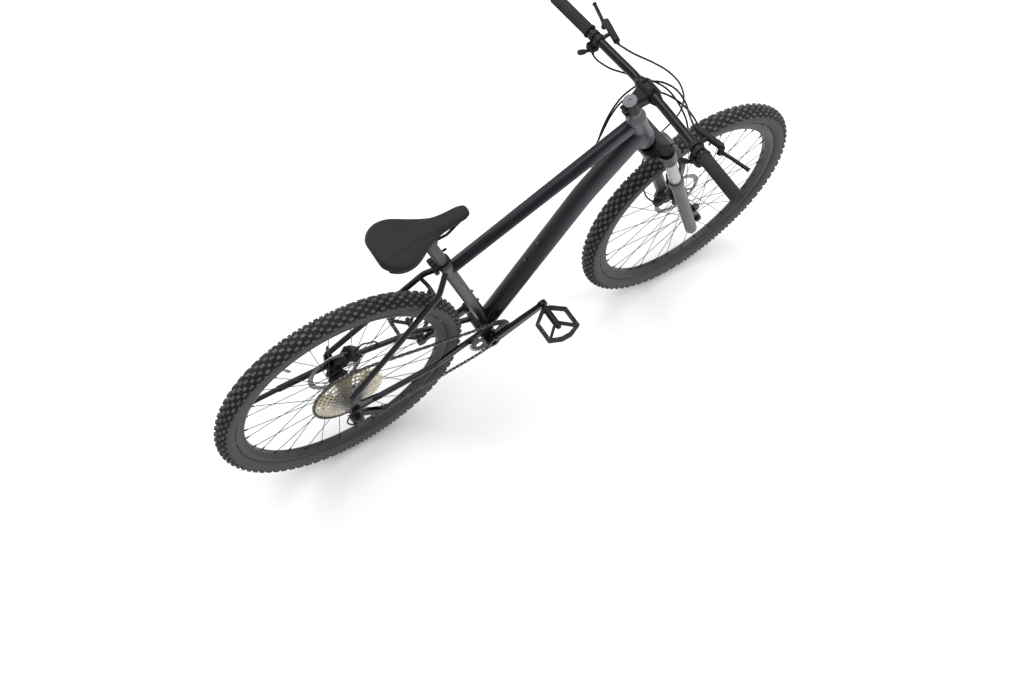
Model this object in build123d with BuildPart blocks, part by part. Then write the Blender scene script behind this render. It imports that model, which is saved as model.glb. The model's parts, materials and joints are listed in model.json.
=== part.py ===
"""Hardtail mountain bike: aluminium frame, suspension fork, disc brakes and a one-by drivetrain.

Frame of reference: millimetres, +X forward, +Y to the rider's left, +Z up. The origin is on the
ground, halfway between the two axles, in the middle plane of the frame.
"""

from math import asin, atan2, ceil, cos, degrees, pi, radians, sin, tan
import os

from build123d import *

os.makedirs("parts", exist_ok=True)

# ---------------------------------------------------------------- driving dimensions
wheel_base = 1159.0
chainstay_length = 440.0
bb_drop = 60.0
head_angle = 67.5
seat_angle = 73.0
fork_offset = 51.0

tyre_radius = 368.0
tyre_half_width = 28.5
casing_radius = 25.5
casing_wall = 2.6
rim_outer_radius = 317.0
rim_seat_radius = 311.0
rim_inner_radius = 291.0
rim_half_width = 15.0
spoke_count = 32
spoke_radius = 0.95

crown_race = 495.0
crown_underside = 476.0
head_tube_bottom = 505.0
head_tube_top = 625.0
steerer_top = 699.0
steerer_radius = 14.3
steerer_taper_radius = 19.85
bearing_height = 8.0

leg_forward = 22.0
leg_spread = 65.0
stanchion_radius = 16.0
leg_radius = 18.6
leg_bottom = -32.0
leg_top = 316.0
front_hub_half = 50.0
front_rotor_y = 39.5

seat_tube_ahead = 15.0
seat_tube_top = 441.0
seat_tube_radius = 17.45
seatpost_radius = 15.8
seatpost_top = 574.0
seatpost_bottom = 236.0

top_tube_on_seat = 382.0
top_tube_on_head = 600.0
down_tube_bend = 505.0
down_tube_angle = 53.0
down_tube_on_head = 553.0
down_tube_bend_radius = 350.0
tube_wall = 1.8

bb_shell_radius = 23.0
bb_shell_half = 36.5
spindle_radius = 12.0

stay_radius = 8.0
chainstay_radius = 9.5
rear_hub_half = 70.5
dropout_thickness = 6.0
rear_rotor_y = 55.0
rotor_radius = 80.0
rotor_thickness = 1.8
axle_radius = 4.9

chain_pitch = 12.7
roller_radius = 3.85
chainring_teeth = 32
chainring_y = -49.5
cassette_teeth = [51, 45, 39, 33, 28, 24, 21, 18, 16, 14, 12, 11]
cassette_inner_y = -25.5
cog_spacing = 3.5
cog_thickness = 1.8
pulley_teeth = 12
pulley_gap = 8.0
cage_length = 95.0

crank_length = 175.0
crank_angle = 27.0

bar_drop_back = 22.0
bar_rise = 8.0
bar_half = 355.0
bar_radius = 11.1
bar_clamp_radius = 15.9
stem_length = 50.0
stem_height = 39.0
stem_centre = 679.0
grip_length = 133.0
grip_radius = 15.5

# Clearances: a shaft in its bore, and parts that must not touch while they move.
running_fit = 0.05
gap = 0.4

# ---------------------------------------------------------------- reference points
rear_axle_at = Vector(-wheel_base / 2, 0, tyre_radius)
front_axle_at = Vector(wheel_base / 2, 0, tyre_radius)
bb_at = rear_axle_at + Vector((chainstay_length**2 - bb_drop**2) ** 0.5, 0, -bb_drop)
left = Vector(0, 1, 0)

head = radians(head_angle)
steer_up = Vector(-cos(head), 0, sin(head))
steer_forward = Vector(sin(head), 0, cos(head))
steer_foot = front_axle_at - steer_forward * fork_offset

seat = radians(seat_angle)
seat_up = Vector(-cos(seat), 0, sin(seat))
seat_forward = Vector(sin(seat), 0, cos(seat))
seat_foot = bb_at + seat_forward * seat_tube_ahead

crank = radians(crank_angle)
crank_along = Vector(cos(crank), 0, sin(crank))


def on_steer(height, forward=0.0, side=0.0):
    """A point given along the steering axis, ahead of it and to its left."""
    return steer_foot + steer_up * height + steer_forward * forward + left * side


def on_seat(height, forward=0.0, side=0.0):
    """A point given along the seat tube, ahead of it and to its left."""
    return seat_foot + seat_up * height + seat_forward * forward + left * side


def steer_level(height, forward=0.0, side=0.0):
    """The plane square to the steering axis, with its x forward and its y to the left."""
    return Plane(origin=on_steer(height, forward, side), x_dir=steer_forward, z_dir=steer_up)


# ---------------------------------------------------------------- shape helpers
def rod(start, end, radius, mode=Mode.ADD):
    """A round bar from start to end, in the part being built."""
    with BuildSketch(Plane(origin=start, z_dir=end - start)) as section:
        Circle(radius)
    extrude(section.sketch, amount=(end - start).length, mode=mode)


def cone(start, end, start_radius, end_radius, mode=Mode.ADD):
    """A tapered round bar from start to end."""
    direction = (end - start).normalized()
    with BuildSketch(Plane(origin=start, z_dir=direction)) as first:
        Circle(start_radius)
    with BuildSketch(Plane(origin=end, z_dir=direction)) as last:
        Circle(end_radius)
    loft([first.sketch, last.sketch], mode=mode)


def turned(plane, axis, outline, mode=Mode.ADD):
    """A closed outline on a plane, turned once round an axis."""
    with BuildSketch(plane) as section:
        with BuildLine():
            Polyline(*outline, close=True)
        make_face()
    revolve(section.sketch, axis=axis, mode=mode)


def plate(plane, outline, thickness, mode=Mode.ADD):
    """A flat outline, as thick as given, centred on its plane."""
    with BuildSketch(plane) as section:
        with BuildLine():
            Polyline(*outline, close=True)
        make_face()
    extrude(section.sketch, amount=thickness / 2, both=True, mode=mode)


def block(plane, width, height, thickness, corner=0.0, mode=Mode.ADD):
    """A block centred on a plane, with rounded upright corners where asked."""
    with BuildSketch(plane) as section:
        if corner:
            RectangleRounded(width, height, corner)
        else:
            Rectangle(width, height)
    extrude(section.sketch, amount=thickness / 2, both=True, mode=mode)


def hull_of(plane, circles, thickness, mode=Mode.ADD):
    """A slab round a set of circles, each given as (x, y, radius)."""
    with BuildSketch(plane) as section:
        for x, y, radius in circles:
            with Locations((x, y)):
                Circle(radius)
        make_hull()
    extrude(section.sketch, amount=thickness, mode=mode)


def bent_tube(points, radii, radius, inner=0.0, mode=Mode.ADD):
    """A round tube along straight runs joined by tangent arcs."""
    with BuildLine() as route:
        if len(points) > 2:
            FilletPolyline(*points, radius=radii)
        else:
            Line(*points)
    path = route.line
    with BuildSketch(Plane(origin=path @ 0, z_dir=path % 0)) as section:
        Circle(radius)
        if inner:
            Circle(inner, mode=Mode.SUBTRACT)
    sweep(section.sketch, path=path, mode=mode)


def finish(builder, name):
    """Label a piece and write it out."""
    builder.part.label = name
    export_step(builder.part, f"parts/{name}.step")


# ---------------------------------------------------------------- frame: main tubes
head_axis = Axis(steer_foot, steer_up)
head_plane = Plane(origin=steer_foot, x_dir=steer_forward, z_dir=(0, -1, 0))
head_radius = 23.5
head_flare = 29.0
lower_bearing_radius = 26.0
upper_bearing_radius = 21.0

with BuildPart() as head_space:
    turned(head_plane, head_axis, [
        (0, head_tube_bottom), (head_flare, head_tube_bottom), (head_flare, head_tube_bottom + 16),
        (head_radius, head_tube_bottom + 48), (head_radius, head_tube_top - 14),
        (head_radius + 1.5, head_tube_top - 10), (head_radius + 1.5, head_tube_top), (0, head_tube_top)])

with BuildPart() as head_tube:
    add(head_space.part)
    rod(on_steer(head_tube_bottom), on_steer(head_tube_bottom + 30), steerer_taper_radius + 2.5,
        mode=Mode.SUBTRACT)
    cone(on_steer(head_tube_bottom + 30), on_steer(head_tube_bottom + 70), steerer_taper_radius + 2.5,
         steerer_radius + 4, mode=Mode.SUBTRACT)
    rod(on_steer(head_tube_bottom + 70), on_steer(head_tube_top), steerer_radius + 4, mode=Mode.SUBTRACT)
    rod(on_steer(head_tube_bottom), on_steer(head_tube_bottom + bearing_height), lower_bearing_radius,
        mode=Mode.SUBTRACT)
    rod(on_steer(head_tube_top - bearing_height), on_steer(head_tube_top), upper_bearing_radius,
        mode=Mode.SUBTRACT)
finish(head_tube, "head_tube")

with BuildPart() as shell_space:
    rod(bb_at - left * bb_shell_half, bb_at + left * bb_shell_half, bb_shell_radius)

with BuildPart() as seat_space:
    rod(seat_foot, on_seat(seat_tube_top), seat_tube_radius)
    add(shell_space.part, mode=Mode.SUBTRACT)

seat_tube_bore = seatpost_radius + running_fit
seat_boss_heights = [141.0, 205.0]
boss_radius = 4.2
boss_bore = 2.5

with BuildPart() as seat_tube:
    rod(bb_at - left * bb_shell_half, bb_at + left * bb_shell_half, bb_shell_radius)
    rod(seat_foot, on_seat(seat_tube_top), seat_tube_radius)
    for height in seat_boss_heights:
        rod(on_seat(height, seat_tube_bore - 4), on_seat(height, seat_tube_radius + 1.5), boss_radius)
    rod(on_seat(bb_shell_radius), on_seat(seat_tube_top), seat_tube_bore, mode=Mode.SUBTRACT)
    rod(bb_at - left * bb_shell_half, bb_at + left * bb_shell_half, 18.0, mode=Mode.SUBTRACT)
    for height in seat_boss_heights:
        rod(on_seat(height, seat_tube_bore - 2), on_seat(height, seat_tube_radius + 1.5), boss_radius)
        rod(on_seat(height, seat_tube_bore - 8), on_seat(height, seat_tube_radius + 2), boss_bore,
            mode=Mode.SUBTRACT)
    slot_plane = Plane(origin=on_seat(seat_tube_top - 14, -seat_tube_radius), x_dir=left, z_dir=seat_forward)
    block(slot_plane, 2.4, 28.5, 12, mode=Mode.SUBTRACT)
finish(seat_tube, "seat_tube")

top_rear = on_seat(top_tube_on_seat)
top_front = on_steer(top_tube_on_head)
top_run = (top_front - top_rear).normalized()

with BuildPart() as top_tube:
    for shrink, mode in ((0.0, Mode.ADD), (tube_wall, Mode.SUBTRACT)):
        with BuildSketch(Plane(origin=top_rear, x_dir=left, z_dir=top_run)) as rear_end:
            Ellipse(16.8 - shrink, 17.3 - shrink)
        with BuildSketch(Plane(origin=top_front, x_dir=left, z_dir=top_run)) as front_end:
            Ellipse(18.5 - shrink, 23.0 - shrink)
        loft([rear_end.sketch, front_end.sketch], mode=mode)
    add(seat_space.part, mode=Mode.SUBTRACT)
    add(head_space.part, mode=Mode.SUBTRACT)
finish(top_tube, "top_tube")

down = radians(down_tube_angle)
down_start = bb_at + Vector(sin(down), 0, -cos(down)) * 8
down_along = Vector(cos(down), 0, sin(down))
down_bend_at = down_start + down_along * down_tube_bend
down_end = on_steer(down_tube_on_head)
down_points = [down_start, down_bend_at, down_end]
down_boss_runs = [261.0, 325.0]
down_half_height = 26.5
down_half_width = 28.5
down_normal = Vector(-sin(down), 0, cos(down))

with BuildPart() as down_tube:
    for shrink, mode in ((0.0, Mode.ADD), (tube_wall, Mode.SUBTRACT)):
        with BuildLine() as down_route:
            FilletPolyline(*down_points, radius=down_tube_bend_radius)
        with BuildSketch(Plane(origin=down_start, x_dir=left, z_dir=down_along)) as down_section:
            Ellipse(down_half_width - shrink, down_half_height - shrink)
        sweep(down_section.sketch, path=down_route.line, mode=mode)
    add(shell_space.part, mode=Mode.SUBTRACT)
    add(seat_space.part, mode=Mode.SUBTRACT)
    add(head_space.part, mode=Mode.SUBTRACT)
    for run in down_boss_runs:
        boss_at = down_start + down_along * run
        rod(boss_at + down_normal * (down_half_height - 7), boss_at + down_normal * (down_half_height + 1.5),
            boss_radius)
        rod(boss_at + down_normal * (down_half_height - 9), boss_at + down_normal * (down_half_height + 2),
            boss_bore, mode=Mode.SUBTRACT)
finish(down_tube, "down_tube")

# ---------------------------------------------------------------- frame: rear triangle
rear_x = rear_axle_at.X
rear_z = rear_axle_at.Z
hanger_bolt_at = rear_axle_at + Vector(-8, 0, -30)
kickstand_pivot_at = rear_axle_at + Vector(34, 0, -31)
dropout_middle = rear_hub_half + dropout_thickness / 2
caliper_angle = radians(35)
caliper_out = Vector(cos(caliper_angle), 0, sin(caliper_angle))
caliper_round = Vector(-sin(caliper_angle), 0, cos(caliper_angle))
caliper_at = rear_axle_at + caliper_out * (rotor_radius - 6)
caliper_bolts = [caliper_at - caliper_out * 4 + caliper_round * side for side in (11, -11)]


def rear_point(x, z):
    """A point of a dropout's outline, from the rear axle, in the dropout's own plane."""
    return (-x, z)


left_dropout_outline = [rear_point(*p) for p in (
    (-17, -14), (-17, 16), (-12, 74), (6, 78), (14, 34), (30, 34), (48, 60), (62, 52), (74, 32), (70, 10),
    (66, -12), (24, -18))]
right_dropout_outline = [rear_point(*p) for p in (
    (-17, -17), (-17, 16), (-12, 74), (6, 78), (16, 26), (66, 14), (66, -12), (24, -17))]
hanger_outline = [rear_point(*p) for p in ((-19, -17), (-22, -30), (-17, -41), (-6, -44), (4, -38), (14, -17))]


def dropout_plane(y):
    """A dropout's plane: x runs back from the axle and y runs up."""
    return Plane(origin=(rear_x, y, rear_z), x_dir=(-1, 0, 0), z_dir=(0, 1, 0))


with BuildPart() as dropouts:
    plate(dropout_plane(dropout_middle), left_dropout_outline, dropout_thickness)
    plate(dropout_plane(-dropout_middle), right_dropout_outline, dropout_thickness)
    rod(rear_axle_at - left * 90, rear_axle_at + left * 90, axle_radius + 0.1, mode=Mode.SUBTRACT)
    for bolt_at in caliper_bolts:
        rod(bolt_at + left * 60, bolt_at + left * 90, 3.1, mode=Mode.SUBTRACT)

with BuildPart() as hanger:
    plate(dropout_plane(-dropout_middle), hanger_outline, dropout_thickness)
    rod(hanger_bolt_at - left * 90, hanger_bolt_at - left * 60, 5.0, mode=Mode.SUBTRACT)

dropout_set = Part(children=[*dropouts.part.solids(), *hanger.part.solids()])
dropout_set.label = "dropouts"
export_step(dropout_set, "parts/dropouts.step")

stay_inner = stay_radius - 1.5
seatstay_top = on_seat(397, -6)
seatstay_bend = rear_axle_at + Vector(288.5, 0, 282)
seatstay_bend_side = 38.5
seatstay_end = rear_axle_at + Vector(-3, 0, 70)

with BuildPart() as seat_stays:
    for hand in (1, -1):
        stay_points = [seatstay_top + left * hand * 8, seatstay_bend + left * hand * seatstay_bend_side,
                       seatstay_end + left * hand * (dropout_middle + 1)]
        bent_tube(stay_points, 60, stay_radius, stay_inner)
    add(seat_space.part, mode=Mode.SUBTRACT)
    add(dropouts.part, mode=Mode.SUBTRACT)

with BuildPart() as stay_cores:
    for hand in (1, -1):
        bent_tube([seatstay_top + left * hand * 8, seatstay_bend + left * hand * seatstay_bend_side,
                   seatstay_end + left * hand * (dropout_middle + 1)], 60, stay_radius)

bridge_run = (seatstay_end - seatstay_bend).normalized()
bridge_at = seatstay_bend + bridge_run * 16
bridge_plane = Plane(origin=bridge_at, x_dir=left, z_dir=bridge_run)
bridge_rise = 20.0
bridge_half = seatstay_bend_side + 2

with BuildPart() as bridge:
    with BuildLine(bridge_plane) as bridge_route:
        ThreePointArc((-bridge_half, 0), (0, bridge_rise), (bridge_half, 0))
    with BuildSketch(Plane(origin=bridge_route.line @ 0, z_dir=bridge_route.line % 0)) as bridge_section:
        Circle(5.5)
    sweep(bridge_section.sketch, path=bridge_route.line)
    crest = bridge_plane.from_local_coords(Vector(0, bridge_rise, 0))
    rod(crest - bridge_run * 2, crest + bridge_run * 10, 7.0)
    rod(crest + bridge_run * 4, crest + bridge_run * 12, 2.5, mode=Mode.SUBTRACT)
    add(stay_cores.part, mode=Mode.SUBTRACT)

stay_set = Part(children=[*seat_stays.part.solids(), *bridge.part.solids()])
stay_set.label = "seat_stays"
export_step(stay_set, "parts/seat_stays.step")

chainstay_points = [(-10, 26, -2), (-94, 41, 10), (-186, 61, 30), (-388, 74, 59)]

with BuildPart() as chain_stays:
    for hand in (1, -1):
        points = [bb_at + Vector(x, y * hand, z) for x, y, z in chainstay_points]
        bent_tube(points, [110, 110], chainstay_radius - 1, chainstay_radius - 2.6)
    add(shell_space.part, mode=Mode.SUBTRACT)
    add(dropouts.part, mode=Mode.SUBTRACT)
    add(down_tube.part, mode=Mode.SUBTRACT)
finish(chain_stays, "chain_stays")


def write_set(name, *pieces):
    """Write several separate solids as one node."""
    solids = []
    for piece in pieces:
        solids += piece.part.solids() if isinstance(piece, BuildPart) else [piece]
    node = Part(children=solids)
    node.label = name
    export_step(node, f"parts/{name}.step")


def quick_release(name, pin_at, arm, stem_radius, reach):
    """A cam lever folded against the frame: two cheeks on a cross pin, and a bent arm."""
    pin_along = arm.cross(left)
    cheek = stem_radius + 3.2
    inner = stem_radius + 0.4
    with BuildPart() as lever:
        for hand in (1, -1):
            side = Plane(origin=pin_at + pin_along * hand * (inner + 1.6), x_dir=arm, z_dir=pin_along)
            hull_of(side.offset(-1.6), [(0, 0, cheek), (cheek + 5, 1.5, 3.6)], 3.2)
        root = pin_at + arm * (cheek + 5) + left * 1.5
        rod(root - pin_along * (inner + 3.2), root + pin_along * (inner + 3.2), 3.6)
        bent_tube([root, root + arm * reach * 0.45 + left * 3, root + arm * reach + left * 1.5], [60], 3.4)
        rod(pin_at - pin_along * 20, pin_at + pin_along * 20, 2.0 + running_fit, mode=Mode.SUBTRACT)
    finish(lever, name)


def cross_pin(pin_at, arm, stem_radius):
    """The pin that a cam lever turns on."""
    pin_along = arm.cross(left)
    rod(pin_at - pin_along * (stem_radius + 4), pin_at + pin_along * (stem_radius + 4), 2.0)


# ---------------------------------------------------------------- frame: clamp, bolts, bearings
collar_height = 17.0
collar_wall = 3.6
collar_bottom = seat_tube_top - collar_height
collar_ear = 9.0
clamp_pin_at = on_seat(collar_bottom + collar_height / 2, -(seat_tube_radius + collar_wall + 4.5))

clamp_lever_pin = clamp_pin_at + left * 21.5

with BuildPart() as seat_clamp:
    rod(on_seat(collar_bottom), on_seat(seat_tube_top + 1.5), seat_tube_radius + collar_wall)
    ear_plane = Plane(origin=clamp_pin_at + seat_forward * 2, x_dir=seat_forward, z_dir=left)
    block(ear_plane, collar_ear + 4, collar_height - 3, 22, corner=2)
    rod(on_seat(collar_bottom - 1), on_seat(seat_tube_top), seat_tube_radius, mode=Mode.SUBTRACT)
    rod(on_seat(seat_tube_top), on_seat(seat_tube_top + 3), seatpost_radius + 0.4, mode=Mode.SUBTRACT)
    block(ear_plane, collar_ear + 22, collar_height + 12, 3, mode=Mode.SUBTRACT)
    rod(clamp_pin_at - left * 14, clamp_pin_at + left * 14, 3.1, mode=Mode.SUBTRACT)
seat_clamp_body = seat_clamp.part.solids().sort_by(SortBy.VOLUME)[-1]

with BuildPart() as clamp_skewer:
    rod(clamp_pin_at - left * 14, clamp_pin_at + left * 11.2, 3.0)
    rod(clamp_pin_at - left * 19, clamp_pin_at - left * 11, 6.5)
    rod(clamp_pin_at + left * 11, clamp_pin_at + left * 13.5, 6.0)
    rod(clamp_pin_at + left * 13, clamp_pin_at + left * 24.5, 3.0)
    cross_pin(clamp_lever_pin, seat_forward, 3.0)
write_set("seat_clamp", seat_clamp_body, clamp_skewer)
quick_release("seat_clamp_lever", clamp_lever_pin, seat_forward, 3.0, 42)

with BuildPart() as frame_bolts:
    for run in down_boss_runs:
        base = down_start + down_along * run + down_normal * (down_half_height + 1.5)
        rod(base, base + down_normal * 3, 4.3)
        rod(base - down_normal * 8, base, boss_bore)
    for height in seat_boss_heights:
        base = on_seat(height, seat_tube_radius + 1.5)
        rod(base, base + seat_forward * 3, 4.3)
        rod(base - seat_forward * 3.5, base, boss_bore)
finish(frame_bolts, "frame_bolts")

with BuildPart() as bearings:
    for hand in (1, -1):
        rod(bb_at + left * hand * 24, bb_at + left * hand * (bb_shell_half), 18.0)
        rod(bb_at + left * hand * bb_shell_half, bb_at + left * hand * (bb_shell_half + 7), 20.0)
    rod(bb_at - left * 60, bb_at + left * 60, spindle_radius + running_fit, mode=Mode.SUBTRACT)
    for low, radius, bore in ((head_tube_bottom, lower_bearing_radius, steerer_taper_radius),
                              (head_tube_top - bearing_height, upper_bearing_radius, steerer_radius)):
        rod(on_steer(low), on_steer(low + bearing_height), radius)
        rod(on_steer(low - 1), on_steer(low + bearing_height + 1), bore + running_fit, mode=Mode.SUBTRACT)
finish(bearings, "frame_bearings")

# ---------------------------------------------------------------- suspension fork
top_cap_height = 7.0
leg_socket_bottom = 446.0

with BuildPart() as fork_crown:
    level = steer_level(crown_underside)
    hull_of(level, [(0, 0, 27), (leg_forward, leg_spread, 21.5), (leg_forward, -leg_spread, 21.5)],
            crown_race - crown_underside)
    for hand in (1, -1):
        side = leg_spread * hand
        rod(on_steer(leg_socket_bottom, leg_forward, side), on_steer(crown_race - 5, leg_forward, side), 20.5)
        rod(on_steer(leg_socket_bottom - 1, leg_forward, side), on_steer(crown_race, leg_forward, side),
            stanchion_radius, mode=Mode.SUBTRACT)
    rod(on_steer(crown_race - 3), on_steer(head_tube_bottom - gap), 25.0)
    rod(on_steer(crown_underside - 1), on_steer(head_tube_bottom), steerer_taper_radius, mode=Mode.SUBTRACT)

with BuildPart() as steerer:
    rod(on_steer(crown_underside), on_steer(head_tube_bottom + 22), steerer_taper_radius)
    cone(on_steer(head_tube_bottom + 22), on_steer(head_tube_bottom + 62), steerer_taper_radius, steerer_radius)
    rod(on_steer(head_tube_bottom + 62), on_steer(steerer_top - 3), steerer_radius)
    rod(on_steer(crown_underside - 1), on_steer(steerer_top), steerer_radius - 2.2, mode=Mode.SUBTRACT)

with BuildPart() as air_cap:
    rod(on_steer(crown_race, leg_forward, leg_spread), on_steer(crown_race + 3, leg_forward, leg_spread), 17.5)
    rod(on_steer(crown_race + 3, leg_forward, leg_spread),
        on_steer(crown_race + top_cap_height + 4, leg_forward, leg_spread), 9.0)

with BuildPart() as stanchions:
    for hand in (1, -1):
        side = leg_spread * hand
        rod(on_steer(190, leg_forward, side), on_steer(crown_race, leg_forward, side), stanchion_radius)
        rod(on_steer(189, leg_forward, side), on_steer(crown_race - 4, leg_forward, side),
            stanchion_radius - 1.8, mode=Mode.SUBTRACT)
finish(stanchions, "stanchions")

dial_bottom = crown_race + 3.5
with BuildPart() as dial_base:
    rod(on_steer(crown_race, leg_forward, -leg_spread), on_steer(crown_race + 3, leg_forward, -leg_spread), 17.5)
    rod(on_steer(crown_race + 3, leg_forward, -leg_spread),
        on_steer(crown_race + 11, leg_forward, -leg_spread), 4.0)
with BuildPart() as lockout_dial:
    rod(on_steer(dial_bottom, leg_forward, -leg_spread), on_steer(dial_bottom + 9, leg_forward, -leg_spread), 15.0)
    rod(on_steer(dial_bottom - 1, leg_forward, -leg_spread),
        on_steer(dial_bottom + 7.7, leg_forward, -leg_spread), 4.0 + running_fit, mode=Mode.SUBTRACT)
    groove_level = steer_level(dial_bottom + 4.5, leg_forward, -leg_spread)
    with BuildSketch(groove_level) as groove:
        Circle(16)
        Circle(13.4, mode=Mode.SUBTRACT)
    extrude(groove.sketch, amount=1.6, both=True, mode=Mode.SUBTRACT)
finish(lockout_dial, "lockout_dial")

cone_top = 643.0
stem_bottom = stem_centre - stem_height / 2
stem_top = stem_centre + stem_height / 2
with BuildPart() as head_cover:
    turned(head_plane, head_axis, [
        (steerer_radius, head_tube_top + gap), (24.5, head_tube_top + gap), (24.5, head_tube_top + 3),
        (17.6, cone_top), (steerer_radius, cone_top)])
with BuildPart() as spacer:
    rod(on_steer(cone_top), on_steer(stem_bottom), 17.4)
    rod(on_steer(cone_top - 1), on_steer(stem_bottom + 1), steerer_radius, mode=Mode.SUBTRACT)
with BuildPart() as top_cap:
    rod(on_steer(stem_top), on_steer(stem_top + 4), 17.0)
    rod(on_steer(stem_top - 24), on_steer(stem_top + 1), 3.0)
    rod(on_steer(stem_top + 2), on_steer(stem_top + 5), 5.0, mode=Mode.SUBTRACT)
write_set("headset_stack", head_cover, spacer, top_cap)
write_set("fork_crown", fork_crown, steerer, air_cap, dial_base)

# Lower legs: bored legs joined by an arch that passes ahead of the crown.
arch_forward = 62.0
tab_inner = front_hub_half
tab_outer = front_hub_half + 12
front_caliper_bolts = [on_steer(36, -10), on_steer(60, -4)]
with BuildPart() as fork_lowers:
    for hand in (1, -1):
        side = leg_spread * hand
        rod(on_steer(leg_bottom, leg_forward, side), on_steer(150, leg_forward, side), leg_radius - 0.6)
        rod(on_steer(150, leg_forward, side), on_steer(leg_top, leg_forward, side), leg_radius)
        rod(on_steer(leg_top - 16, leg_forward, side), on_steer(leg_top, leg_forward, side), leg_radius + 2.4)
        tab_plane = Plane(origin=steer_foot + left * hand * (tab_inner + tab_outer) / 2,
                          x_dir=steer_forward, z_dir=(0, -1, 0))
        with BuildSketch(tab_plane) as tab:
            with Locations((fork_offset, 0)):
                Circle(13)
            with Locations((leg_forward + 2, 44)):
                Circle(11)
            with Locations((leg_forward + 2, -16)):
                Circle(11)
            make_hull()
        extrude(tab.sketch, amount=(tab_outer - tab_inner) / 2, both=True)
    hull_of(Plane(origin=steer_foot + left * 49, x_dir=steer_forward, z_dir=(0, -1, 0)).offset(-4),
            [(leg_forward - 8, 92, 8), (leg_forward - 8, 22, 8), (-10, 36, 8), (-4, 60, 8)], 7)
    with BuildLine() as arch_route:
        FilletPolyline(on_steer(leg_top - 14, leg_forward + 8, leg_spread - 2),
                       on_steer(362, arch_forward - 8, leg_spread - 4),
                       on_steer(404, arch_forward, 24), on_steer(404, arch_forward, -24),
                       on_steer(362, arch_forward - 8, -leg_spread + 4),
                       on_steer(leg_top - 14, leg_forward + 8, -leg_spread + 2), radius=[26, 30, 30, 26])
    with BuildSketch(Plane(origin=arch_route.line @ 0, x_dir=steer_forward,
                           z_dir=arch_route.line % 0)) as arch_section:
        RectangleRounded(17, 12, 4)
    sweep(arch_section.sketch, path=arch_route.line)
    for hand in (1, -1):
        side = leg_spread * hand
        rod(on_steer(60, leg_forward, side), on_steer(leg_top + 30, leg_forward, side),
            stanchion_radius + running_fit, mode=Mode.SUBTRACT)
        rod(on_steer(leg_top, leg_forward, side), on_steer(leg_top + 9.3, leg_forward, side),
            leg_radius + 2.1, mode=Mode.SUBTRACT)
    for bolt_at in front_caliper_bolts:
        rod(bolt_at + left * 40, bolt_at + left * 54, 3.1, mode=Mode.SUBTRACT)
    rod(front_axle_at - left * 90, front_axle_at + left * 90, axle_radius + 0.1, mode=Mode.SUBTRACT)

with BuildPart() as dust_seals:
    for hand in (1, -1):
        side = leg_spread * hand
        rod(on_steer(leg_top, leg_forward, side), on_steer(leg_top + 9, leg_forward, side), leg_radius + 2.0)
        rod(on_steer(leg_top - 1, leg_forward, side), on_steer(leg_top + 10, leg_forward, side),
            stanchion_radius + running_fit, mode=Mode.SUBTRACT)
write_set("fork_lowers", fork_lowers, dust_seals)

# ---------------------------------------------------------------- wheels
casing_centre = tyre_radius - casing_radius - 4
shoulder_radius = tyre_half_width + 0.9
bead_half = rim_half_width - 2.6
flange_radius = 29.0
spoke_circle = 26.0
spoke_cross = 67.5
front_valve_angle = 84.375
rear_valve_angle = 118.125


def wheel_section(centre):
    """A wheel's section: x runs out along a radius and y to the left along the axle."""
    return Plane(origin=centre, x_dir=(1, 0, 0), z_dir=(0, 0, 1))


def radial(centre, angle, radius, y):
    """A point of a wheel, given by its angle from the front, in degrees, and its radius."""
    turn = radians(angle)
    return Vector(centre.X + radius * cos(turn), y, centre.Z + radius * sin(turn))


def band(radius, angles, hand):
    """Points on an arc round the casing's centre, measured from the crown of the tread."""
    return [(casing_centre + radius * cos(radians(a)), hand * radius * sin(radians(a))) for a in angles]


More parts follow.
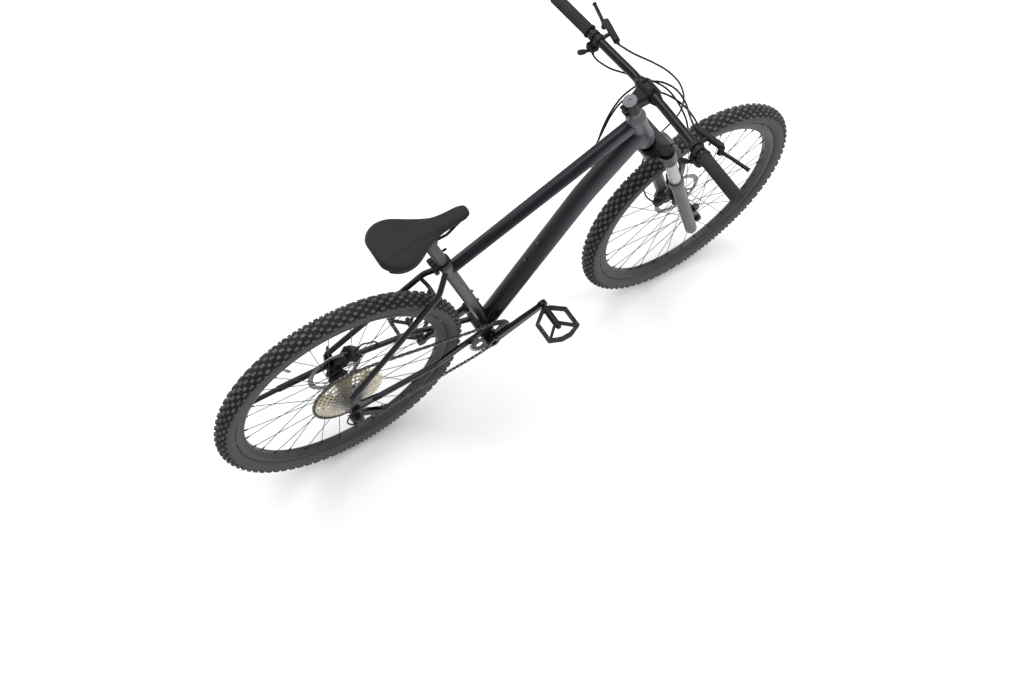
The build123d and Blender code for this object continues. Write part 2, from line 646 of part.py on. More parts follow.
def build_wheel(name, centre, flanges, hub_outline, rotor_y, valve_at):
    """Write one wheel's tyre, rim, spokes and hub with its rotor."""
    section = wheel_section(centre)
    axle = Axis(centre, (0, 1, 0))
    with BuildPart() as tyre:
        with BuildSketch(section) as profile:
            with Locations((casing_centre, 0)):
                Circle(casing_radius)
            outlines = [[(casing_centre + 20, -9), (tyre_radius, -9), (tyre_radius, 9), (casing_centre + 20, 9)]]
            for hand in (1, -1):
                outlines.append(band(shoulder_radius, (23, 36, 49, 62, 75), hand)
                                + band(casing_radius - 1, (75, 49, 23), hand))
            for outline in outlines:
                with BuildLine():
                    Polyline(*outline, close=True)
                make_face()
            with Locations((casing_centre, 0)):
                Circle(casing_radius - casing_wall, mode=Mode.SUBTRACT)
            with Locations((rim_outer_radius - 8, 0)):
                Rectangle(21, 60, mode=Mode.SUBTRACT)
            for hand in (1, -1):
                with BuildLine():
                    Polyline((rim_seat_radius, hand * (bead_half - 3)), (rim_seat_radius, hand * (bead_half - 0.1)),
                             (rim_outer_radius + 0.3, hand * (bead_half - 0.1)),
                             (rim_outer_radius + 2.8, hand * 16.8), (rim_outer_radius + 5, hand * 15.6),
                             (rim_outer_radius + 2.0, hand * (bead_half - 1.6)), close=True)
                make_face()
        revolve(profile.sketch, axis=axle)
    with BuildPart() as valve:
        rod(radial(centre, valve_at, rim_seat_radius, 0), radial(centre, valve_at, 262, 0), 2.9)
        rod(radial(centre, valve_at, 268, 0), radial(centre, valve_at, 254, 0), 3.8)
    write_set(f"{name}_tyre", tyre, valve)

    with BuildPart() as spokes:
        for index in range(spoke_count):
            angle = 360 / spoke_count * index
            flange = flanges[index % 2]
            lean = spoke_cross if index % 4 < 2 else -spoke_cross
            offset = 2.7 if index % 4 < 2 else -2.7
            tilt = 2.5 if flange > 0 else -2.5
            foot = radial(centre, angle + lean, spoke_circle, flange + offset)
            tip = radial(centre, angle, rim_inner_radius + 1.5, tilt)
            run = (tip - foot).normalized()
            rod(foot, tip, spoke_radius)
            rod(foot - left * offset * 1.45, foot + left * offset * 0.3, 1.15)
            rod(tip - run * 12, tip, 2.1)
    finish(spokes, f"{name}_spokes")

    with BuildPart() as rim:
        with BuildSketch(section) as profile:
            with BuildLine():
                Polyline((rim_outer_radius, rim_half_width), (rim_outer_radius, bead_half),
                         (rim_seat_radius, bead_half), (rim_seat_radius, -bead_half),
                         (rim_outer_radius, -bead_half), (rim_outer_radius, -rim_half_width),
                         (304, -rim_half_width), (rim_inner_radius, -7), (rim_inner_radius, 7),
                         (304, rim_half_width), close=True)
            make_face()
            with BuildLine():
                Polyline((308.5, 12.6), (308.5, -12.6), (304.4, -12.6), (293.8, -5.8), (293.8, 5.8),
                         (304.4, 12.6), close=True)
            make_face(mode=Mode.SUBTRACT)
        revolve(profile.sketch, axis=axle)
        rod(radial(centre, valve_at, 320, 0), radial(centre, valve_at, 280, 0), 3.0, mode=Mode.SUBTRACT)
    finish(rim, f"{name}_rim")

    with BuildPart() as hub:
        turned(section, axle, hub_outline)
        for index in range(spoke_count):
            angle = 360 / spoke_count * index
            lean = spoke_cross if index % 4 < 2 else -spoke_cross
            hole = radial(centre, angle + lean, spoke_circle, flanges[index % 2])
            rod(hole - left * 2.2, hole + left * 2.2, 1.2, mode=Mode.SUBTRACT)
    rotor_plane = Plane(origin=(centre.X, rotor_y, centre.Z), x_dir=(1, 0, 0), z_dir=(0, 1, 0))
    with BuildPart() as rotor:
        with BuildSketch(rotor_plane) as disc:
            Circle(rotor_radius)
            with PolarLocations(0, 10):
                with Locations((rotor_radius + 3.4, 0)):
                    Circle(5.5, mode=Mode.SUBTRACT)
            Circle(rotor_radius - 15, mode=Mode.SUBTRACT)
            for ring, count, turn in ((rotor_radius - 4.5, 40, 0), (rotor_radius - 10, 40, 4.5)):
                with PolarLocations(ring, count, start_angle=turn):
                    Circle(2.0, mode=Mode.SUBTRACT)
            with PolarLocations(0, 6):
                with BuildLine():
                    Polyline((18, -5), (69, 16), (69, 22), (60, 20), (18, 5), close=True)
                make_face()
            Circle(26)
            Circle(17.4, mode=Mode.SUBTRACT)
            with PolarLocations(22, 6):
                Circle(2.6, mode=Mode.SUBTRACT)
        extrude(disc.sketch, amount=rotor_thickness / 2, both=True)
    with BuildPart() as rotor_bolts:
        with BuildSketch(rotor_plane.offset(rotor_thickness / 2)) as heads:
            with PolarLocations(22, 6):
                Circle(3.6)
        extrude(heads.sketch, amount=2)
        with BuildSketch(rotor_plane.offset(-rotor_thickness / 2)) as shanks:
            with PolarLocations(22, 6):
                Circle(2.5)
        extrude(shanks.sketch, amount=rotor_thickness)
    write_set(f"{name}_hub", hub, rotor, rotor_bolts)


hub_bore = axle_radius + running_fit
front_wall = front_hub_half - 0.3
rear_wall = rear_hub_half - 0.3
freehub_start = -23.4
front_outline = [
    (hub_bore, -front_wall), (9.5, -front_wall), (9.5, -44), (14, -43), (14, -36), (18, -35), (flange_radius, -34.5),
    (flange_radius, -31.5), (16, -29), (13.5, -20), (13.5, 10), (16, 18), (flange_radius, 20.5),
    (flange_radius, 23.5), (18, 25), (18, 33), (24, 34.5), (24, front_rotor_y - 0.9), (17.3, front_rotor_y - 0.9),
    (17.3, front_rotor_y + 2), (9.5, 44), (9.5, front_wall), (hub_bore, front_wall)]
rear_outline = [
    (hub_bore, freehub_start), (16, freehub_start), (18, -21), (flange_radius, -20), (flange_radius, -17),
    (20, -15.5), (15.5, -7), (15.5, 24), (19, 31), (flange_radius, 32.5), (flange_radius, 35.5), (19, 38),
    (19, 48), (24, 49.5), (24, rear_rotor_y - 0.9), (17.3, rear_rotor_y - 0.9), (17.3, rear_rotor_y + 2),
    (10, 60), (10, rear_wall), (hub_bore, rear_wall)]
build_wheel("front", front_axle_at, (22.0, -33.0), front_outline, front_rotor_y, front_valve_angle)
build_wheel("rear", rear_axle_at, (34.0, -18.5), rear_outline, rear_rotor_y, rear_valve_angle)

# ---------------------------------------------------------------- axles and their cam levers
rear_arm = Vector(0.2, 0, 0.98).normalized()
front_arm = (steer_up * cos(radians(8)) + steer_forward * sin(radians(8))).normalized()
front_pin_at = front_axle_at + left * (tab_outer + 20)
rear_block = rear_hub_half + dropout_thickness
rear_pin_at = rear_axle_at + left * (rear_block + 22)

with BuildPart() as front_axle:
    rod(front_axle_at - left * 72, front_axle_at + left * (tab_outer + 23.5), axle_radius)
    rod(front_axle_at - left * 71, front_axle_at - left * tab_outer, 10.0)
    rod(front_axle_at + left * tab_outer, front_axle_at + left * (tab_outer + 9), 9.5)
    cross_pin(front_pin_at, front_arm, axle_radius)
finish(front_axle, "front_axle")
quick_release("front_qr_lever", front_pin_at, front_arm, axle_radius, 44)

with BuildPart() as rear_axle:
    rod(rear_axle_at - left * 85, rear_axle_at + left * (rear_block + 25.5), axle_radius)
    rod(rear_axle_at - left * 84, rear_axle_at - left * rear_block, 9.0)
    rod(rear_axle_at + left * rear_block, rear_axle_at + left * (rear_block + 11), 10.0)
    cross_pin(rear_pin_at, rear_arm, axle_radius)
finish(rear_axle, "rear_axle")
quick_release("rear_qr_lever", rear_pin_at, rear_arm, axle_radius, 44)

# ---------------------------------------------------------------- disc brake calipers
pad_gap = 1.0


def build_caliper(name, centre, out, around, inner_y, outer_y, rotor_y, axle_at, bolts, head_y):
    """A caliper that straddles its rotor, held by two bolts from outside."""
    with BuildPart() as caliper:
        level = Plane(origin=(centre.X, inner_y, centre.Z), x_dir=out, z_dir=(0, 1, 0))
        with BuildSketch(level) as body:
            RectangleRounded(30, 44, 6)
        extrude(body.sketch, amount=outer_y - inner_y)
        rod(centre + left * (inner_y - 3), centre + left * inner_y, 11)
        rod(axle_at + left * (rotor_y - pad_gap - 0.9), axle_at + left * (rotor_y + pad_gap + 0.9),
            rotor_radius + 2, mode=Mode.SUBTRACT)
        port = centre + left * (inner_y + outer_y) / 2
        rod(port + out * 14, port + out * 26, 3.6)
    with BuildPart() as bolt_set:
        for bolt_at in bolts:
            rod(bolt_at + left * outer_y, bolt_at + left * head_y, 3.0)
            rod(bolt_at + left * head_y, bolt_at + left * (head_y + 3.5), 5.0)
    write_set(name, caliper, bolt_set)


build_caliper("rear_brake_caliper", caliper_at, caliper_out, caliper_round, 38.5, rear_hub_half, rear_rotor_y,
              rear_axle_at, caliper_bolts, rear_block)
front_caliper_at = on_steer(50, -4)
front_out = (front_caliper_at - front_axle_at).normalized()
front_round = Vector(front_out.Z, 0, -front_out.X)
if front_round.Z < 0:
    front_round = front_round * -1
build_caliper("front_brake_caliper", front_caliper_at, front_out, front_round, 27.5, 46, front_rotor_y,
              front_axle_at, front_caliper_bolts, 53)

# ---------------------------------------------------------------- drivetrain: chain path
cog_y = cassette_inner_y
guide_at = rear_axle_at + Vector(6, 0, -136)
root_depth = 4.1
tip_height = 3.4
tooth_root_half = 2.6
tooth_tip_half = 1.2


def pitch_radius(teeth):
    """The radius that the chain's pins run on, for a sprocket of so many teeth."""
    return teeth * chain_pitch / (2 * pi)


def chain_wheels(cage_angle):
    """Each wheel of the chain's path: its centre, radius, sense and y, with the cage at an angle."""
    down = Vector(cos(cage_angle), 0, sin(cage_angle))
    return [
        (bb_at, pitch_radius(chainring_teeth), 1, chainring_y),
        (rear_axle_at, pitch_radius(cassette_teeth[0]), 1, cog_y),
        (guide_at, pitch_radius(pulley_teeth), -1, cog_y),
        (guide_at + down * cage_length, pitch_radius(pulley_teeth), 1, cog_y)]


def chain_runs(cage_angle):
    """The straight run after each wheel and the wrap on each wheel, in order."""
    wheels = chain_wheels(cage_angle)
    tangents = []
    for index, (centre, radius, sense, _) in enumerate(wheels):
        other, other_radius, other_sense, _ = wheels[(index + 1) % 4]
        away = other - centre
        slope = atan2(away.Z, away.X) + asin((sense * radius - other_sense * other_radius) / away.length)
        out = Vector(sin(slope), 0, -cos(slope))
        tangents.append((centre + out * sense * radius, other + out * other_sense * other_radius))
    wraps = []
    for index, (centre, radius, sense, _) in enumerate(wheels):
        entry = tangents[index - 1][1] - centre
        leave = tangents[index][0] - centre
        start = atan2(entry.Z, entry.X)
        turn = (atan2(leave.Z, leave.X) - start) * sense % (2 * pi)
        wraps.append((start, turn))
    return wheels, tangents, wraps


def chain_total(cage_angle):
    """The chain's length round its whole path."""
    wheels, tangents, wraps = chain_runs(cage_angle)
    straight = sum((end - start).length for start, end in tangents)
    return straight + sum(wheel[1] * wrap[1] for wheel, wrap in zip(wheels, wraps))


low_angle = radians(-75)
high_angle = radians(-15)
link_pairs = round((chain_total(radians(-42))) / chain_pitch / 2)
link_count = 2 * link_pairs
for _ in range(60):
    middle_angle = (low_angle + high_angle) / 2
    if (chain_total(middle_angle) - link_count * chain_pitch) * (
            chain_total(high_angle) - link_count * chain_pitch) > 0:
        high_angle = middle_angle
    else:
        low_angle = middle_angle
cage_angle = (low_angle + high_angle) / 2
print("chain:", link_count, "links, cage at", round(degrees(cage_angle), 2), "degrees, length",
      round(chain_total(cage_angle), 3))

wheels, tangents, wraps = chain_runs(cage_angle)
tension_at = wheels[3][0]
blend_length = 70.0
lead = 24.0


def lateral(run, length, start_y, end_y):
    """The chain's y along a straight run: level at both ends, with an even slant between."""
    run = min(max(run - lead, 0.0), length - 2 * lead)
    length -= 2 * lead
    slope = (end_y - start_y) / (length - blend_length)
    if run < blend_length:
        return start_y + slope * run * run / (2 * blend_length)
    if run > length - blend_length:
        rest = length - run
        return end_y - slope * rest * rest / (2 * blend_length)
    return start_y + slope * (run - blend_length / 2)


def chain_point(distance):
    """A point of the chain, by its distance from where it meets the chainring."""
    for (centre, radius, sense, wheel_y), (start, turn), (leave, arrive), index in zip(
            wheels, wraps, tangents, range(4)):
        if distance < radius * turn:
            angle = start + sense * distance / radius
            return Vector(centre.X + radius * cos(angle), wheel_y, centre.Z + radius * sin(angle))
        distance -= radius * turn
        length = (arrive - leave).length
        if distance < length:
            next_y = wheels[(index + 1) % 4][3]
            flat = leave + (arrive - leave) * (distance / length)
            y = wheel_y if next_y == wheel_y else lateral(distance, length, wheel_y, next_y)
            return Vector(flat.X, y, flat.Z)
        distance -= length
    return chain_point(0)


def roller_phase(index):
    """The angle at which a roller sits on a wheel of the path."""
    distance = 0.0
    for wheel, wrap, run in zip(wheels[:index], wraps, tangents):
        distance += wheel[1] * wrap[1] + (run[1] - run[0]).length
    lead = (ceil(distance / chain_pitch) * chain_pitch - distance) / wheels[index][1]
    return wraps[index][0] + wheels[index][2] * lead


def teeth_outline(teeth, phase):
    """A toothed outline with its gaps where the rollers sit; x forward, y up."""
    radius = pitch_radius(teeth)
    step = 2 * pi / teeth
    points = []
    for index in range(teeth):
        middle = phase + (index + 0.5) * step
        for r, half in ((radius - root_depth, -tooth_root_half), (radius + tip_height, -tooth_tip_half),
                        (radius + tip_height, tooth_tip_half), (radius - root_depth, tooth_root_half)):
            points.append((r * cos(middle + half / r), r * sin(middle + half / r)))
    return points


def seen_from_right(centre, y):
    """An upright plane with x forward and y up; its normal points to the right."""
    return Plane(origin=(centre.X, y, centre.Z), x_dir=(1, 0, 0), z_dir=(0, -1, 0))


with BuildPart() as inner_link:
    for side in (1, -1):
        hull_of(Plane.XY.offset(1.2 if side > 0 else -2.0),
                [(-chain_pitch / 2, 0, 3.9), (chain_pitch / 2, 0, 3.9)], 0.8)
    for end in (-chain_pitch / 2, chain_pitch / 2):
        rod(Vector(end, 0, -1.2), Vector(end, 0, 1.2), roller_radius)
        rod(Vector(end, 0, -2.5), Vector(end, 0, 2.5), 1.9, mode=Mode.SUBTRACT)
with BuildPart() as outer_link:
    for side in (1, -1):
        hull_of(Plane.XY.offset(2.2 if side > 0 else -3.0),
                [(-chain_pitch / 2, 0, 3.9), (chain_pitch / 2, 0, 3.9)], 0.8)
    for end in (-chain_pitch / 2, chain_pitch / 2):
        rod(Vector(end, 0, -3.3), Vector(end, 0, 3.3), 1.8)

links = []
for index in range(link_count):
    start = chain_point(index * chain_pitch)
    end = chain_point((index + 1) % link_count * chain_pitch)
    run = (end - start).normalized()
    pin_along = (left - run * run.Y).normalized()
    frame = Plane(origin=(start + end) / 2, x_dir=run, z_dir=pin_along)
    link = (inner_link if index % 2 else outer_link).part.solids()[0]
    links.append(link.moved(Location(frame)))
write_set("chain", *links)

# ---------------------------------------------------------------- drivetrain: cassette
with BuildPart() as cassette:
    rod(rear_axle_at + left * (freehub_start - gap), rear_axle_at - left * rear_wall, 15.5)
    rod(rear_axle_at + left * (cog_y + 1.0), rear_axle_at - left * 66, 17.2)
    for index, teeth in enumerate(cassette_teeth):
        y = cog_y - cog_spacing * index
        radius = pitch_radius(teeth) - root_depth
        inner = 18.0 if index + 1 == len(cassette_teeth) else pitch_radius(cassette_teeth[index + 1]) - 9
        phase = roller_phase(1) if index == 0 else roller_phase(1) + index * 0.07
        with BuildSketch(seen_from_right(rear_axle_at, y)) as cog:
            with BuildLine():
                Polyline(*teeth_outline(teeth, phase), close=True)
            make_face()
            if radius > 34:
                arms = 6
                with PolarLocations((21 + radius - 7) / 2 + 1, arms, start_angle=index * 4):
                    Rectangle(radius - 7 - 23, (radius - 7) * 0.42, mode=Mode.SUBTRACT)
        extrude(cog.sketch, amount=cog_thickness / 2, both=True)
        if index:
            rod(rear_axle_at + left * (y + cog_spacing), rear_axle_at + left * y, 20.0 if teeth > 13 else 17.2)
    rod(rear_axle_at + left * (freehub_start - gap + 1), rear_axle_at - left * 80, hub_bore, mode=Mode.SUBTRACT)
finish(cassette, "cassette")

# ---------------------------------------------------------------- drivetrain: chainring and cranks
ring_bore = 15.0
with BuildPart() as chainring:
    with BuildSketch(seen_from_right(bb_at, chainring_y)) as ring:
        with BuildLine():
            Polyline(*teeth_outline(chainring_teeth, roller_phase(0)), close=True)
        make_face()
        Circle(ring_bore, mode=Mode.SUBTRACT)
        with PolarLocations(38, 5, start_angle=crank_angle + 36):
            RectangleRounded(20, 24, 6, mode=Mode.SUBTRACT)
    extrude(ring.sketch, amount=1.0, both=True)
finish(chainring, "chainring")


def build_arm(hand, along):
    """One crank arm, on the left for hand 1: boss, tapered arm and pedal eye."""
    rod(bb_at + left * hand * 52, bb_at + left * hand * 76, 19.0)
    with BuildSketch(Plane(origin=bb_at + along * 8 + left * hand * 66, x_dir=left, z_dir=along)) as root:
        RectangleRounded(16, 36, 5)
    with BuildSketch(Plane(origin=bb_at + along * (crank_length - 8) + left * hand * 77, x_dir=left,
                           z_dir=along)) as eye:
        RectangleRounded(13, 26, 5)
    loft([root.sketch, eye.sketch])
    tip = bb_at + along * crank_length
    rod(tip + left * hand * 70.5, tip + left * hand * 84, 14.5)
    rod(tip + left * hand * 70, tip + left * hand * 85, 6.0, mode=Mode.SUBTRACT)


with BuildPart() as right_arm:
    build_arm(-1, crank_along)
    rod(bb_at - left * 47, bb_at - left * 52.5, ring_bore - 0.02)
    rod(bb_at - left * 56, bb_at + left * 62, spindle_radius)
    rod(bb_at - left * 77, bb_at - left * 70, 9.0, mode=Mode.SUBTRACT)
    rod(bb_at - left * 72, bb_at + left * 63, spindle_radius - 3, mode=Mode.SUBTRACT)
with BuildPart() as left_arm:
    build_arm(1, crank_along * -1)
    rod(bb_at + left * 51, bb_at + left * 62, spindle_radius, mode=Mode.SUBTRACT)
    rod(bb_at + left * 70, bb_at + left * 77, 10.0, mode=Mode.SUBTRACT)
pedal_axles = []
for hand, along in ((-1, crank_along), (1, crank_along * -1)):
    tip = bb_at + along * crank_length
    with BuildPart() as pedal_axle:
        rod(tip + left * hand * 71, tip + left * hand * 88, 6.0)
        rod(tip + left * hand * 88, tip + left * hand * 160, 4.4)
    pedal_axles.append(pedal_axle)
write_set("crank_arms", right_arm, left_arm, *pedal_axles)


def build_pedal(name, hand, along):
    """A platform pedal: hexagonal cage with two foot windows and a barrel on its axle."""
    tip = bb_at + along * crank_length
    level = Plane(origin=tip, x_dir=(1, 0, 0), z_dir=(0, 0, 1))
    with BuildPart() as pedal:
        with BuildSketch(level) as cage:
            with BuildLine():
                Polyline(*[(x, hand * y) for x, y in (
                    (-52, 122), (-52, 188), (-20, 204), (20, 204), (52, 188), (52, 122), (14, 92), (-14, 92))],
                    close=True)
            make_face()
            for side in (1, -1):
                with BuildLine():
                    Polyline(*[(side * x, hand * y) for x, y in (
                        (12, 106), (41, 128), (41, 181), (18, 192), (12, 184))], close=True)
                make_face(mode=Mode.SUBTRACT)
        extrude(cage.sketch, amount=7, both=True)
        rod(tip + left * hand * 88.5, tip + left * hand * 166, 10.0)
        for x in (-46.5, 46.5):
            for y in (132, 148, 164, 180):
                pin_at = tip + Vector(x, hand * y, 0)
                rod(pin_at - Vector(0, 0, 9), pin_at + Vector(0, 0, 9), 1.6)
        rod(tip + left * hand * 80, tip + left * hand * 162, 4.4 + running_fit, mode=Mode.SUBTRACT)
    finish(pedal, name)


build_pedal("pedal_right", -1, crank_along)
build_pedal("pedal_left", 1, crank_along * -1)

# ---------------------------------------------------------------- drivetrain: derailleur
link_top = Vector(rear_x - 10.5, -86, rear_z - 54)
link_low = link_top + Vector(0, 35.7, -45.7)
ahead = Vector(1, 0, 0)
lug_half = 5.5
cheek_out = 11.5
link_pin = 2.5

with BuildPart() as derailleur_body:
    rod(hanger_bolt_at - left * (rear_block + 2.8), hanger_bolt_at - left * 94, 12.0)
    rod(hanger_bolt_at - left * 71, hanger_bolt_at - left * (rear_block + 3), 4.9)
    rod(hanger_bolt_at - left * 94, hanger_bolt_at - left * 97, 7.0)
    rod(link_top - ahead * lug_half, link_top + ahead * lug_half, 7.0)
    neck = Plane(origin=(link_top.X, -92, (link_top.Z + hanger_bolt_at.Z) / 2 + 2), x_dir=ahead, z_dir=left)
    block(neck.offset(6), 2 * lug_half, 26, 14)
    rod(link_top - ahead * cheek_out, link_top + ahead * cheek_out, link_pin)
    rod(hanger_bolt_at - left * 96, hanger_bolt_at - left * 98, 3.5, mode=Mode.SUBTRACT)
finish(derailleur_body, "derailleur_body")

with BuildPart() as derailleur_link:
    for side in (1, -1):
        cheek_at = ahead * side * (lug_half + gap)
        web = Plane(origin=link_top + cheek_at, x_dir=(link_low - link_top).normalized(), z_dir=ahead * side)
        hull_of(web, [(0, 0, 7.2), ((link_low - link_top).length, 0, 7.2)], 5)
    middle = (link_top + link_low) / 2
    rod(middle - ahead * cheek_out * 0.9, middle + ahead * cheek_out * 0.9, 7.2)
    for pin_at in (link_top, link_low):
        rod(pin_at - ahead * 20, pin_at + ahead * 20, link_pin + running_fit, mode=Mode.SUBTRACT)
finish(derailleur_link, "derailleur_link")

plate_out = pulley_gap / 2 + 2.5
outer_plate_y = cog_y - plate_out
with BuildPart() as derailleur_knuckle:
    rod(link_low - ahead * lug_half, link_low + ahead * lug_half, 6.6)
    rod(link_low - ahead * cheek_out, link_low + ahead * cheek_out, link_pin)
    neck = Plane(origin=(link_low.X, link_low.Y + 2, link_low.Z - 10), x_dir=ahead, z_dir=left)
    block(neck, 2 * lug_half, 20, 10)
    rod(Vector(guide_at.X, outer_plate_y - 0.4, guide_at.Z), Vector(guide_at.X, -53, guide_at.Z), 13.0)
    hull_of(Plane(origin=(0, -53, 0), x_dir=ahead, z_dir=left),
            [(link_low.X, -(link_low.Z - 17), 5.4), (guide_at.X, -guide_at.Z, 12.5)], 9)
    rod(Vector(guide_at.X, outer_plate_y, guide_at.Z), Vector(guide_at.X, -46, guide_at.Z), 4.0 + running_fit,
        mode=Mode.SUBTRACT)
finish(derailleur_knuckle, "derailleur_knuckle")

pulley_bore = 2.5
with BuildPart() as derailleur_cage:
    for y in (cog_y + plate_out - 2, outer_plate_y):
        level = Plane(origin=(guide_at.X, y, guide_at.Z), x_dir=(tension_at - guide_at).normalized(), z_dir=left)
        hull_of(level, [(0, 0, 11), (cage_length, 0, 10)], 2)
    for pulley_at in (guide_at, tension_at):
        rod(pulley_at + left * outer_plate_y, pulley_at + left * (cog_y + plate_out), pulley_bore)
    rod(guide_at + left * (outer_plate_y + 1), guide_at + left * (outer_plate_y - 12), 4.0)
finish(derailleur_cage, "derailleur_cage")

for name, centre, index in (("guide_pulley", guide_at, 2), ("tension_pulley", tension_at, 3)):
    with BuildPart() as pulley:
        with BuildSketch(seen_from_right(centre, cog_y)) as wheel:
            with BuildLine():
                Polyline(*teeth_outline(pulley_teeth, roller_phase(index)), close=True)
            make_face()
            with PolarLocations(12.5, 6):
                Circle(2.6, mode=Mode.SUBTRACT)
        extrude(wheel.sketch, amount=0.9, both=True)
        rod(centre + left * (cog_y - 3.6), centre + left * (cog_y + 3.6), 6.5)
        rod(centre + left * (cog_y - 5), centre + left * (cog_y + 5), pulley_bore + running_fit,
            mode=Mode.SUBTRACT)
    finish(pulley, name)

# ---------------------------------------------------------------- kickstand
stand_y = 95.0
with BuildPart() as kickstand_bracket:
    base = Plane(origin=(rear_x + 36, rear_block, rear_z - 31), x_dir=(1, 0, 0), z_dir=(0, 1, 0))
    with BuildSketch(base) as foot:
        RectangleRounded(38, 27, 5)
    extrude(foot.sketch, amount=8)
    rod(kickstand_pivot_at + left * (rear_block + 7), kickstand_pivot_at + left * 106, 4.0)
    rod(kickstand_pivot_at + left * 104.8, kickstand_pivot_at + left * 107.5, 7.0)
finish(kickstand_bracket, "kickstand_bracket")

with BuildPart() as kickstand_leg:
    rod(kickstand_pivot_at + left * (rear_block + 8.4), kickstand_pivot_at + left * 101.2, 13.0)
    leg_start = kickstand_pivot_at + Vector(-6, stand_y, 0)
    leg_middle = Vector(rear_x - 155, stand_y, rear_z - 16)
    leg_end = Vector(rear_x - 268, stand_y, rear_z - 10)
    leg_run = (leg_end - leg_middle).normalized()
    rod(leg_start, leg_middle, 9.3)
    rod(leg_middle - leg_run * 6, leg_end, 7.0)
    rod(kickstand_pivot_at + left * 80, kickstand_pivot_at + left * 110, 4.0 + running_fit, mode=Mode.SUBTRACT)
with BuildPart() as stand_foot:
    rod(leg_end - leg_run * 4, leg_end + leg_run * 18, 11.0)
    rod(leg_end - leg_run * 5, leg_end, 7.0, mode=Mode.SUBTRACT)
write_set("kickstand_leg", kickstand_leg, stand_foot)

# ---------------------------------------------------------------- cockpit: stem and handlebar
stem_rise = 6.5
stem_slope = radians(90 - head_angle + stem_rise)
stem_run = Vector(cos(stem_slope), 0, sin(stem_slope))
bar_at = on_steer(stem_centre) + stem_run * stem_length
bend_half = 60.0


def bar_point(y):
    """A point of the handlebar's centre line."""
    past = max(abs(y) - bend_half, 0.0) / (bar_half - bend_half)
    return bar_at + Vector(-bar_drop_back * past, y, bar_rise * past)


with BuildPart() as stem_body:
    rod(on_steer(stem_bottom), on_steer(stem_top), 19.0)
    with BuildSketch(Plane(origin=on_steer(stem_centre) + stem_run * 8, x_dir=left, z_dir=stem_run)) as root:
        RectangleRounded(31, 34, 8)
    with BuildSketch(Plane(origin=bar_at - stem_run * 12, x_dir=left, z_dir=stem_run)) as nose:
        RectangleRounded(44, 36, 6)
    loft([root.sketch, nose.sketch])
    rod(bar_at - left * 22, bar_at + left * 22, 20.5)
    rod(on_steer(stem_bottom - 1), on_steer(stem_top + 1), steerer_radius, mode=Mode.SUBTRACT)
    rod(bar_at - left * 30, bar_at + left * 30, bar_clamp_radius, mode=Mode.SUBTRACT)
    split = Plane(origin=bar_at + stem_run * 15.5, x_dir=left, z_dir=stem_run)
    block(split, 60, 60, 30, mode=Mode.SUBTRACT)
    rear_slot = Plane(origin=on_steer(stem_centre, -20), x_dir=left, z_dir=steer_forward)
    block(rear_slot, 2.5, 60, 16, mode=Mode.SUBTRACT)
with BuildPart() as pinch_bolts:
    for step in (-10, 10):
        ear = on_steer(stem_centre + step, -21)
        rod(ear - left * 9, ear + left * 9, 5.2)
        rod(ear - left * 11.5, ear - left * 9, 4.0)
    rod(on_steer(stem_bottom), on_steer(stem_top), 19.0, mode=Mode.SUBTRACT)
face_bolts = []
with BuildPart() as faceplate:
    rod(bar_at - left * 22, bar_at + left * 22, 20.5)
    face_up = Vector(-stem_run.Z, 0, stem_run.X)
    for side in (1, -1):
        for up in (1, -1):
            ear = bar_at + left * side * 16 + face_up * up * 20.5
            rod(ear + stem_run * 1, ear + stem_run * 9, 4.6)
    rod(bar_at - left * 30, bar_at + left * 30, bar_clamp_radius, mode=Mode.SUBTRACT)
    block(Plane(origin=bar_at - stem_run * 14.2, x_dir=left, z_dir=stem_run), 60, 60, 30, mode=Mode.SUBTRACT)
with BuildPart() as face_bolts:
    for side in (1, -1):
        for up in (1, -1):
            ear = bar_at + left * side * 16 + face_up * up * 20.5
            rod(ear + stem_run * 9, ear + stem_run * 12, 3.8)
write_set("stem", stem_body, pinch_bolts, faceplate, face_bolts)

with BuildPart() as handlebar:
    bar_points = [bar_point(y) for y in (-bar_half, -bend_half, bend_half, bar_half)]
    bent_tube(bar_points, [300, 300], bar_radius)
    rod(bar_at - left * 30, bar_at + left * 30, bar_clamp_radius)
    for hand in (1, -1):
        cone(bar_at + left * hand * 30, bar_at + left * hand * 44, bar_clamp_radius, bar_radius - 0.1)
    bent_tube(bar_points, [300, 300], bar_radius - 1.9, mode=Mode.SUBTRACT)
finish(handlebar, "handlebar")

grip_start = bar_half - grip_length
grip_pieces = []
for hand in (1, -1):
    inner_end = bar_point(hand * grip_start)
    outer_end = bar_point(hand * bar_half)
    along = (outer_end - inner_end).normalized()
    with BuildPart() as grip:
        rod(inner_end, outer_end, grip_radius)
        rod(inner_end, inner_end + along * 4, grip_radius + 2)
        rod(inner_end - along * 5, outer_end + along * 5, bar_radius, mode=Mode.SUBTRACT)
    with BuildPart() as end_cap:
        rod(outer_end, outer_end + along * 3.5, grip_radius)
        rod(outer_end - along * 9, outer_end, bar_radius - 1.9)
    grip_pieces += [grip, end_cap]
write_set("grips", *grip_pieces)

# ---------------------------------------------------------------- cockpit: brake levers and thumb controls
master_near = Vector(339, 164, 1010)
master_far = Vector(353, 227, 1010)
blade_pivot = Vector(352, 228, 995)
blade_tip = Vector(374, 300, 994)
blade_pin_radius = 2.5
up = Vector(0, 0, 1)


def handed(point, hand):
    """The same point on the left for hand 1, or mirrored to the right for hand -1."""
    return Vector(point.X, point.Y * hand, point.Z)


